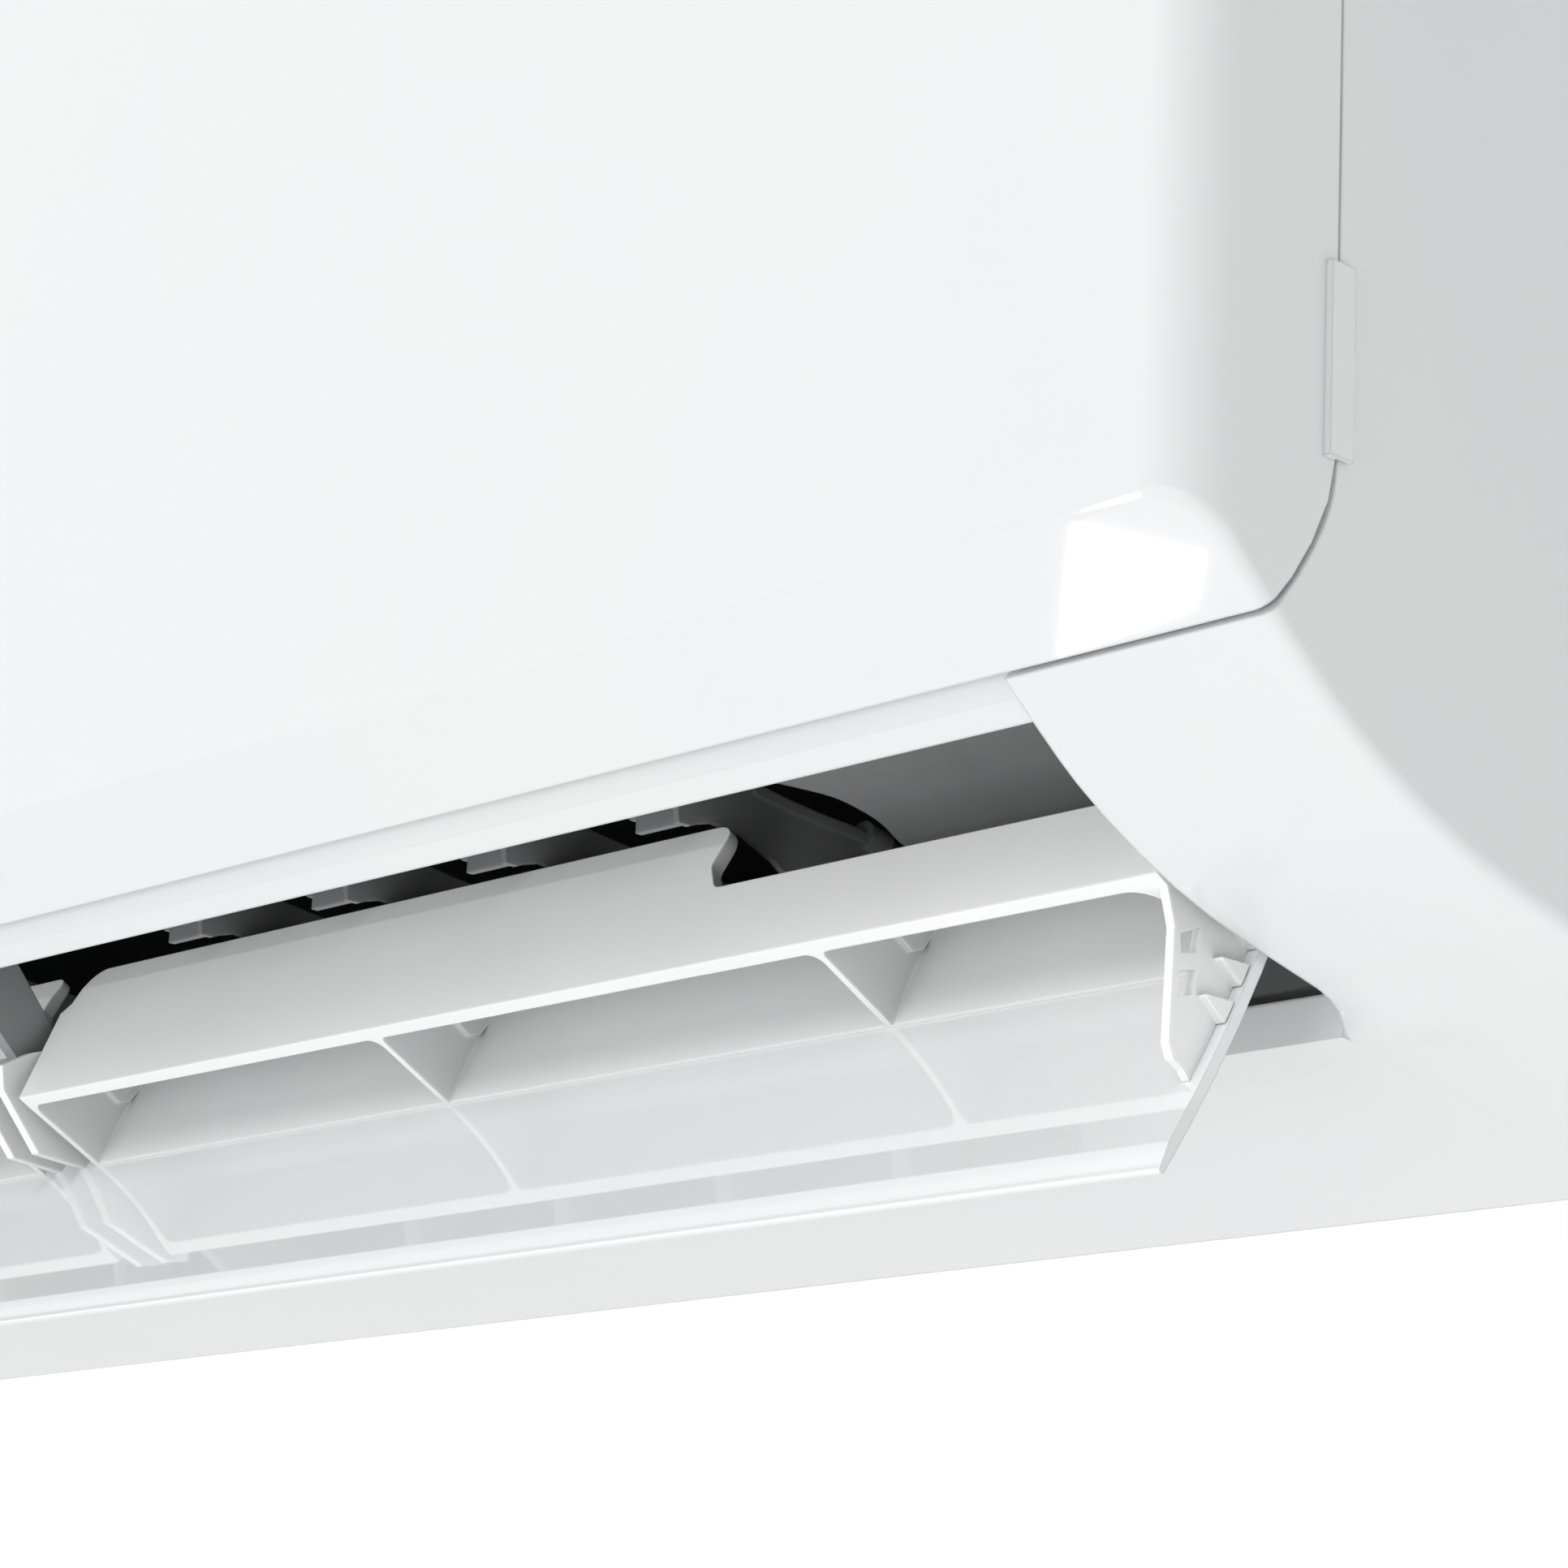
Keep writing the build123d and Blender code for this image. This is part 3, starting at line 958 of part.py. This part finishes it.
# ---------------------------------------------------------------- fasteners
with BuildPart() as frame_screws:
    for x in (-300, -100, 100, 300):
        rod_y(x, -175.2, -173.0, -80, 3.4)
        rod_y(x, -173.1, -161.0, -80, 1.6)
frame_screws.part.label = "frame_screws"
export_step(frame_screws.part, "parts/frame_screws.step")

with BuildPart() as cover_screws:
    for x in (299.9, 382.1):
        for z in (49.9, 122.1):
            rod_y(x, -154.0, -152.2, z, 2.6)
            rod_y(x, -152.3, -144.0, z, 1.2)
cover_screws.part.label = "cover_screws"
export_step(cover_screws.part, "parts/cover_screws.step")
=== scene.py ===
import bpy
import bmesh
import json
import math
import random
from mathutils import Vector, Matrix

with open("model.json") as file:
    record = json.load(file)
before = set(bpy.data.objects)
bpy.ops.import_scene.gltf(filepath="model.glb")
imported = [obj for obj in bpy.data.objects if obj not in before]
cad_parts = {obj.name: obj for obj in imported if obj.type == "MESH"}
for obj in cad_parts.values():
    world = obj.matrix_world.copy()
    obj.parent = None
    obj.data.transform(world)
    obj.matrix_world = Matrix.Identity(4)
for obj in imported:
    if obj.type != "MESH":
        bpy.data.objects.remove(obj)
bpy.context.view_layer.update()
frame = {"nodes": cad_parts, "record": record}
N = frame["nodes"]
SLOT = {s["node"]: s["material_slot"] for s in frame["record"]["subparts"]}
scene = bpy.context.scene
random.seed(7)

# ---------------------------------------------------------------- camera at the photograph's viewing angle
cam_data = bpy.data.cameras.new("camera")
cam_data.sensor_fit = "HORIZONTAL"
cam_data.sensor_width = 36.0
cam_data.lens = 96.89
cam_data.clip_start, cam_data.clip_end = 0.01, 60.0
cam = bpy.data.objects.new("camera", cam_data)
scene.collection.objects.link(cam)
right = Vector((0.68876, 0.72328, 0.04985))
up = Vector((0.16367, -0.22210, 0.96119))
back = Vector((0.70628, -0.65387, -0.27135))
m = Matrix((right, up, back)).transposed().to_4x4()
m.translation = Vector((0.78996, -0.62776, -0.29245))
cam.matrix_world = m
scene.camera = cam

scene.view_settings.view_transform = "Standard"
scene.view_settings.look = "None"


# ---------------------------------------------------------------- materials
class Nodes:
    """small helper round a material's node tree"""

    def __init__(self, name):
        self.m = bpy.data.materials.new(name)
        self.m.use_nodes = True
        self.t = self.m.node_tree
        self.t.nodes.clear()
        self.out = self.t.nodes.new("ShaderNodeOutputMaterial")
        self.b = self.t.nodes.new("ShaderNodeBsdfPrincipled")
        self.t.links.new(self.b.outputs[0], self.out.inputs[0])
        self.co = self.t.nodes.new("ShaderNodeTexCoord").outputs["Object"]

    def new(self, kind, **kw):
        n = self.t.nodes.new(kind)
        for k, v in kw.items():
            setattr(n, k, v)
        return n

    def link(self, a, b):
        self.t.links.new(a, b)

    def noise(self, scale, detail=3.0, rough=0.55, stretch=None, distortion=0.0):
        n = self.new("ShaderNodeTexNoise")
        n.inputs["Scale"].default_value = scale
        n.inputs["Detail"].default_value = detail
        n.inputs["Roughness"].default_value = rough
        n.inputs["Distortion"].default_value = distortion
        if stretch:
            mp = self.new("ShaderNodeMapping")
            mp.inputs["Scale"].default_value = stretch
            self.link(self.co, mp.inputs["Vector"])
            self.link(mp.outputs[0], n.inputs["Vector"])
        else:
            self.link(self.co, n.inputs["Vector"])
        return n.outputs["Fac"]

    def ramp(self, fac, lo, hi, a, b):
        r = self.new("ShaderNodeMapRange")
        r.inputs["From Min"].default_value = lo
        r.inputs["From Max"].default_value = hi
        r.inputs["To Min"].default_value = a
        r.inputs["To Max"].default_value = b
        self.link(fac, r.inputs["Value"])
        return r.outputs[0]

    def mix(self, fac, a, b):
        x = self.new("ShaderNodeMix", data_type="RGBA")
        x.inputs["A"].default_value = (*a, 1.0)
        x.inputs["B"].default_value = (*b, 1.0)
        self.link(fac, x.inputs["Factor"])
        return x.outputs["Result"]

    def times(self, colour, value):
        x = self.new("ShaderNodeVectorMath", operation="SCALE")
        self.link(colour, x.inputs[0])
        self.link(value, x.inputs["Scale"])
        return x.outputs[0]

    def toward(self, colour, fac, b):
        x = self.new("ShaderNodeMix", data_type="RGBA")
        x.inputs["B"].default_value = (*b, 1.0)
        self.link(colour, x.inputs["A"])
        self.link(fac, x.inputs["Factor"])
        return x.outputs["Result"]

    def bump(self, height, distance, strength=1.0, normal=None):
        x = self.new("ShaderNodeBump")
        x.inputs["Distance"].default_value = distance
        x.inputs["Strength"].default_value = strength
        self.link(height, x.inputs["Height"])
        if normal is not None:
            self.link(normal, x.inputs["Normal"])
        return x.outputs[0]

    def edge(self, radius):
        x = self.new("ShaderNodeBevel", samples=4)
        x.inputs["Radius"].default_value = radius
        return x.outputs[0]


def moulded(name, base, rough, wide=0.02, grain=0.000012, grain_scale=900.0, wave=0.00003, wave_scale=14.0, edge=0.0005,
            ior=1.5, coat=0.0, tint=None, ao_painted_shade=0.0, painted_edge_highlight=0.0):
    """injection-moulded plastic: faint colour drift, long soft sink waves, a fine skin and rounded edges"""
    k = Nodes(name)
    b = k.b
    tint = tint or (0.985, 0.995, 1.0)
    low = tuple(c * (1 - wide) * t for c, t in zip(base, tint))
    high = tuple(min(1.0, c * (1 + wide * 0.6)) for c in base)
    colour = k.mix(k.ramp(k.noise(9.0, 4.0), 0.3, 0.7, 0.0, 1.0), low, high)
    if ao_painted_shade:
        # painted shade: pockets and inner corners darkened in the base colour by the ambient-occlusion value
        ao = k.new("ShaderNodeAmbientOcclusion", samples=6)
        ao.inputs["Distance"].default_value = 0.035
        colour = k.times(colour, k.ramp(ao.outputs["AO"], 0.25, 0.85, 1 - ao_painted_shade, 1.0))
    if painted_edge_highlight:
        # painted highlight: outer edges, where the bevelled normal turns away from the face normal, pushed toward white
        # in the base colour
        bevel = k.edge(0.0010)
        geo = k.new("ShaderNodeNewGeometry")
        dot = k.new("ShaderNodeVectorMath", operation="DOT_PRODUCT")
        k.link(bevel, dot.inputs[0])
        k.link(geo.outputs["Normal"], dot.inputs[1])
        colour = k.toward(colour, k.ramp(dot.outputs["Value"], 0.995, 0.85, 0.0, painted_edge_highlight), (0.97, 0.97, 0.97))
    k.link(colour, b.inputs["Base Color"])
    k.link(k.ramp(k.noise(38.0, 5.0, 0.6), 0.3, 0.7, rough * 0.86, rough * 1.16), b.inputs["Roughness"])
    b.inputs["IOR"].default_value = ior
    if coat:
        b.inputs["Coat Weight"].default_value = coat
        b.inputs["Coat Roughness"].default_value = 0.02
    n = k.edge(edge) if edge else None
    n = k.bump(k.noise(wave_scale, 1.0, 0.4), wave, 1.0, n)
    n = k.bump(k.noise(grain_scale, 2.0, 0.6), grain, 1.0, n)
    k.link(n, b.inputs["Normal"])
    return k.m


def metal(name, base, rough, stretch=(1, 1, 1), scale=60.0, wide=0.12, grain=0.00001, edge=0.0004, dull=None):
    """rolled, drawn or turned metal: directional streaks in colour, roughness and relief"""
    k = Nodes(name)
    b = k.b
    b.inputs["Metallic"].default_value = 1.0
    streak = k.noise(scale, 6.0, 0.65, stretch)
    patch = k.noise(17.0, 4.0)
    lo = tuple(c * (1 - wide) for c in base)
    c1 = k.new("ShaderNodeMix", data_type="RGBA")
    c1.inputs["A"].default_value = (*lo, 1.0)
    c1.inputs["B"].default_value = (*base, 1.0)
    k.link(k.ramp(streak, 0.3, 0.7, 0.0, 1.0), c1.inputs["Factor"])
    if dull:
        c2 = k.new("ShaderNodeMix", data_type="RGBA")
        c2.inputs["B"].default_value = (*dull, 1.0)
        k.link(c1.outputs["Result"], c2.inputs["A"])
        k.link(k.ramp(patch, 0.52, 0.72, 0.0, 0.6), c2.inputs["Factor"])
        k.link(c2.outputs["Result"], b.inputs["Base Color"])
    else:
        k.link(c1.outputs["Result"], b.inputs["Base Color"])
    k.link(k.ramp(streak, 0.25, 0.75, rough * 0.75, rough * 1.3), b.inputs["Roughness"])
    k.link(k.bump(streak, grain, 1.0, k.edge(edge)), b.inputs["Normal"])
    return k.m


def spangle(name, base, rough):
    """hot-dip galvanised or zinc-plated sheet with soft crystal patches"""
    k = Nodes(name)
    b = k.b
    b.inputs["Metallic"].default_value = 1.0
    v = k.new("ShaderNodeTexVoronoi")
    v.inputs["Scale"].default_value = 150.0
    k.link(k.co, v.inputs["Vector"])
    sep = k.new("ShaderNodeSeparateColor")
    k.link(v.outputs["Color"], sep.inputs[0])
    lo = tuple(c * 0.82 for c in base)
    k.link(k.mix(sep.outputs[0], lo, base), b.inputs["Base Color"])
    k.link(k.ramp(sep.outputs[1], 0.0, 1.0, rough * 0.8, rough * 1.35), b.inputs["Roughness"])
    k.link(k.bump(k.noise(500.0, 3.0), 0.000008, 1.0, k.edge(0.0004)), b.inputs["Normal"])
    return k.m


def rubber(name, base, rough=0.75):
    k = Nodes(name)
    b = k.b
    lo = tuple(c * 0.8 for c in base)
    hi = tuple(min(1, c * 1.7 + 0.006) for c in base)
    k.link(k.mix(k.ramp(k.noise(55.0, 5.0), 0.35, 0.7, 0.0, 1.0), lo, hi), b.inputs["Base Color"])
    k.link(k.ramp(k.noise(130.0, 4.0), 0.3, 0.7, rough * 0.85, min(1.0, rough * 1.15)), b.inputs["Roughness"])
    k.link(k.bump(k.noise(1400.0, 3.0), 0.00002, 1.0, k.edge(0.0006)), b.inputs["Normal"])
    return k.m


def board(name):
    """solder mask with tracks, vias and silver pads"""
    k = Nodes(name)
    b = k.b
    v = k.new("ShaderNodeTexVoronoi", distance="MANHATTAN", feature="F1")
    v.inputs["Scale"].default_value = 220.0
    k.link(k.co, v.inputs["Vector"])
    br = k.new("ShaderNodeTexBrick")
    br.inputs["Scale"].default_value = 160.0
    br.inputs["Mortar Size"].default_value = 0.09
    br.inputs["Color1"].default_value = (0.012, 0.10, 0.045, 1)
    br.inputs["Color2"].default_value = (0.016, 0.125, 0.055, 1)
    br.inputs["Mortar"].default_value = (0.03, 0.21, 0.09, 1)
    mp = k.new("ShaderNodeMapping")
    mp.inputs["Rotation"].default_value = (math.radians(90), 0, 0)
    k.link(k.co, mp.inputs["Vector"])
    k.link(mp.outputs[0], br.inputs["Vector"])
    x = k.new("ShaderNodeMix", data_type="RGBA")
    x.inputs["B"].default_value = (0.62, 0.63, 0.60, 1)
    k.link(br.outputs["Color"], x.inputs["A"])
    k.link(k.ramp(v.outputs["Distance"], 0.16, 0.12, 0.0, 1.0), x.inputs["Factor"])
    k.link(x.outputs["Result"], b.inputs["Base Color"])
    k.link(k.ramp(k.noise(90.0, 3.0), 0.3, 0.7, 0.24, 0.36), b.inputs["Roughness"])
    k.link(k.bump(br.outputs["Fac"], 0.00003, 1.0, k.edge(0.0002)), b.inputs["Normal"])
    return k.m


def net(name):
    """woven nylon mesh: threads both ways, open between them"""
    k = Nodes(name)
    b = k.b
    sep = k.new("ShaderNodeSeparateXYZ")
    k.link(k.co, sep.inputs[0])

    def threads(axis):
        a = k.new("ShaderNodeMath", operation="MULTIPLY")
        a.inputs[1].default_value = 2 * math.pi / 0.0012
        k.link(sep.outputs[axis], a.inputs[0])
        s = k.new("ShaderNodeMath", operation="SINE")
        k.link(a.outputs[0], s.inputs[0])
        return s.outputs[0]

    mx = k.new("ShaderNodeMath", operation="MAXIMUM")
    k.link(threads("X"), mx.inputs[0])
    k.link(threads("Z"), mx.inputs[1])
    k.link(k.ramp(mx.outputs[0], 0.30, 0.42, 0.0, 1.0), b.inputs["Alpha"])
    k.link(k.mix(k.ramp(k.noise(60.0), 0.3, 0.7, 0, 1), (0.24, 0.26, 0.28), (0.34, 0.36, 0.38)), b.inputs["Base Color"])
    b.inputs["Roughness"].default_value = 0.55
    k.link(k.bump(mx.outputs[0], 0.0002), b.inputs["Normal"])
    return k.m


def lens(name):
    k = Nodes(name)
    b = k.b
    k.link(k.mix(k.ramp(k.noise(30.0), 0.3, 0.7, 0, 1), (0.02, 0.008, 0.012), (0.035, 0.014, 0.02)), b.inputs["Base Color"])
    k.link(k.ramp(k.noise(80.0), 0.3, 0.7, 0.05, 0.09), b.inputs["Roughness"])
    b.inputs["Coat Weight"].default_value = 0.5
    k.link(k.bump(k.noise(25.0), 0.00002, 1.0, k.edge(0.0004)), b.inputs["Normal"])
    return k.m


M = {
    "white_panel": moulded("white_panel", (0.86, 0.862, 0.866), 0.045, wide=0.006, grain=0.0000004, wave=0.000010, wave_scale=9.0,
                           edge=0.0008, coat=0.5),
    "white_shell": moulded("white_shell", (0.85, 0.852, 0.855), 0.13, wide=0.01, grain=0.0000015, wave=0.000010, edge=0.0010, coat=0.2),
    "white_inner": moulded("white_inner", (0.72, 0.72, 0.715), 0.42, wide=0.03, grain=0.000008, edge=0.0005),
    "white_gloss_vane": moulded("white_gloss_vane", (0.765, 0.767, 0.771), 0.035, wide=0.006, grain=0.0000004, wave=0.000008,
                                wave_scale=11.0, edge=0.0005, ior=1.6, coat=1.0),
    # white_satin_vane carries painted shade in its pockets and inner corners (ambient occlusion in the base colour)
    "white_satin_vane": moulded("white_satin_vane", (0.86, 0.86, 0.86), 0.34, wide=0.02, grain=0.000008, grain_scale=1300.0,
                                # painted highlight on the outer edges of the white_satin_vane parts, pushed toward
                                # white in the base colour
                                edge=0.0006, ao_painted_shade=0.20, painted_edge_highlight=1.0),
    "white_button": moulded("white_button", (0.80, 0.80, 0.80), 0.18, wide=0.02),
    "black_plastic": moulded("black_plastic", (0.035, 0.036, 0.038), 0.42, wide=0.18, grain=0.000015, grain_scale=1100.0),
    "grey_plastic": moulded("grey_plastic", (0.17, 0.172, 0.175), 0.16, wide=0.30, grain=0.000004, wave=0.0016, wave_scale=11.0,
                            edge=0.0008, coat=0.6),
    "louver_grey": moulded("louver_grey", (0.32, 0.323, 0.328), 0.34, wide=0.08, grain=0.00001, edge=0.0007),
    "fan_grey": moulded("fan_grey", (0.13, 0.135, 0.14), 0.45, wide=0.1, grain=0.00002, grain_scale=700.0),
    "filter_frame_white": moulded("filter_frame_white", (0.66, 0.68, 0.70), 0.35, wide=0.03),
    "terminal_grey": moulded("terminal_grey", (0.24, 0.25, 0.26), 0.4, wide=0.08),
    "grey_tube": moulded("grey_tube", (0.48, 0.49, 0.50), 0.45, wide=0.06, grain=0.00002, grain_scale=600.0),
    "fin_aluminium": metal("fin_aluminium", (0.70, 0.76, 0.84), 0.32, (1, 1, 14), 40.0, wide=0.14),
    "galvanised": spangle("galvanised", (0.60, 0.61, 0.62), 0.34),
    "zinc_plate": spangle("zinc_plate", (0.64, 0.65, 0.66), 0.30),
    "copper": metal("copper", (0.80, 0.42, 0.27), 0.24, (1, 1, 1), 70.0, wide=0.18, dull=(0.36, 0.17, 0.10)),
    "sensor_copper": metal("sensor_copper", (0.78, 0.42, 0.28), 0.26, (1, 1, 1), 90.0, wide=0.2),
    "brass": metal("brass", (0.82, 0.64, 0.30), 0.22, (14, 1, 1), 80.0, wide=0.12, dull=(0.50, 0.36, 0.16)),
    "motor_body": metal("motor_body", (0.52, 0.53, 0.54), 0.36, (1, 6, 6), 40.0, wide=0.1),
    "stepper_steel": metal("stepper_steel", (0.62, 0.62, 0.61), 0.30, (8, 1, 1), 60.0, wide=0.12),
    "screw_steel": metal("screw_steel", (0.68, 0.68, 0.69), 0.25, (1, 1, 1), 200.0, wide=0.15),
    "shaft_steel": metal("shaft_steel", (0.58, 0.58, 0.59), 0.18, (1, 20, 20), 60.0, wide=0.1),
    "black_rubber": rubber("black_rubber", (0.018, 0.018, 0.019)),
    "board_green": board("board_green"),
    "smoked_lens": lens("smoked_lens"),
    "filter_mesh": net("filter_mesh"),
}

for name, obj in N.items():
    if obj.material_slots:
        for s in obj.material_slots:
            s.material = M[SLOT[name]]
    else:
        obj.data.materials.append(M[SLOT[name]])

# ---------------------------------------------------------------- studio
AMBIENT, SWING = 0.72, 0.56     # mean and directional part of the soft light round the room

world = bpy.data.worlds.new("studio")
scene.world = world
world.use_nodes = True
wt = world.node_tree
wt.nodes.clear()
w_out = wt.nodes.new("ShaderNodeOutputWorld")
w_bg = wt.nodes.new("ShaderNodeBackground")
w_seen = wt.nodes.new("ShaderNodeBackground")
w_seen.inputs["Color"].default_value = (1, 1, 1, 1)
w_seen.inputs["Strength"].default_value = 1.0
w_mix = wt.nodes.new("ShaderNodeMixShader")
w_lp = wt.nodes.new("ShaderNodeLightPath")
w_co = wt.nodes.new("ShaderNodeTexCoord")
w_dot = wt.nodes.new("ShaderNodeVectorMath")
w_dot.operation = "DOT_PRODUCT"
w_dot.inputs[1].default_value = (-0.70, 0.17, 0.66)
w_rng = wt.nodes.new("ShaderNodeMapRange")
w_rng.inputs["From Min"].default_value = -1.0
w_rng.inputs["From Max"].default_value = 1.0
w_rng.inputs["To Min"].default_value = AMBIENT - SWING
w_rng.inputs["To Max"].default_value = AMBIENT + SWING
wt.links.new(w_co.outputs["Generated"], w_dot.inputs[0])
wt.links.new(w_dot.outputs["Value"], w_rng.inputs["Value"])
wt.links.new(w_rng.outputs[0], w_bg.inputs["Strength"])
w_bg.inputs["Color"].default_value = (1.0, 1.0, 1.0, 1)
wt.links.new(w_lp.outputs["Is Camera Ray"], w_mix.inputs[0])
wt.links.new(w_bg.outputs[0], w_mix.inputs[1])
wt.links.new(w_seen.outputs[0], w_mix.inputs[2])
wt.links.new(w_mix.outputs[0], w_out.inputs[0])

fm = Nodes("studio_floor")
fm.link(fm.mix(fm.ramp(fm.noise(0.6, 2.0), 0.3, 0.7, 0, 1), (0.84, 0.84, 0.84), (0.87, 0.87, 0.87)), fm.b.inputs["Base Color"])
fm.b.inputs["Roughness"].default_value = 0.9
fme = bpy.data.meshes.new("floor")
fme.from_pydata([(-14, -14, -3.2), (14, -14, -3.2), (14, 14, -3.2), (-14, 14, -3.2)], [], [(0, 1, 2, 3)])
fme.materials.append(fm.m)
floor = bpy.data.objects.new("floor", fme)
scene.collection.objects.link(floor)


def area(name, centre, target, sx, sy, power, up_hint=(0, 0, 1), colour=(1, 1, 1), seen=True):
    d = bpy.data.lights.new(name, "AREA")
    d.shape = "RECTANGLE"
    d.size, d.size_y = sx, sy
    d.energy = power
    d.color = colour
    o = bpy.data.objects.new(name, d)
    scene.collection.objects.link(o)
    z = (Vector(centre) - Vector(target)).normalized()
    x = Vector(up_hint).cross(z).normalized()
    y = z.cross(x)
    r = Matrix((x, y, z)).transposed().to_4x4()
    r.translation = Vector(centre)
    o.matrix_world = r
    o.visible_camera = False
    return o


def softbox(name, corners, strength):
    """a glowing quad that only shows in reflections"""
    k = bpy.data.materials.new(name)
    k.use_nodes = True
    k.node_tree.nodes.clear()
    o = k.node_tree.nodes.new("ShaderNodeOutputMaterial")
    e = k.node_tree.nodes.new("ShaderNodeEmission")
    e.inputs["Strength"].default_value = strength
    k.node_tree.links.new(e.outputs[0], o.inputs[0])
    me = bpy.data.meshes.new(name)
    me.from_pydata(corners, [], [tuple(range(len(corners)))])
    me.materials.append(k)
    ob = bpy.data.objects.new(name, me)
    scene.collection.objects.link(ob)
    ob.visible_camera = False
    ob.visible_diffuse = False
    ob.visible_shadow = False
    ob.visible_transmission = False
    return ob


key = area("key", (0.12, -2.58, -0.88), (0, -0.13, -0.10), 1.8, 1.2, 17.5)
key.visible_glossy = False

# two fills that only the open vane sees, so that its faces stay light in the shade of the casing
vane_only = bpy.data.collections.new("vane_fill")
for n in ("vane_inner", "vane_plate"):
    vane_only.objects.link(N[n])
for name, place, power in (("fill_up", (0.5, -1.75, 0.75), 12), ("fill_low", (0.5, -1.3, -1.5), 4)):
    f = area(name, place, (0, -0.11, -0.11), 1.0, 1.0, power)
    f.visible_glossy = False
    f.light_linking.receiver_collection = vane_only
    f.light_linking.blocker_collection = vane_only

softbox("strip_low", [(-0.0123, -0.331, -0.5136), (0.0213, -0.3174, -0.534), (0.0112, -0.3037, -0.5399),
                      (-0.0342, -0.296, -0.529)], 6.0)
softbox("strip_crease", [(0.046, -0.590, -0.17), (0.080, -0.590, -0.17), (0.080, -0.470, -0.38), (0.046, -0.470, -0.38)], 4.5)
side_fill = area("fill_side", (0.85, -0.15, -0.50), (0.38, -0.08, -0.10), 0.5, 0.5, 0.5)
side_fill.visible_glossy = False

bpy.context.view_layer.update()
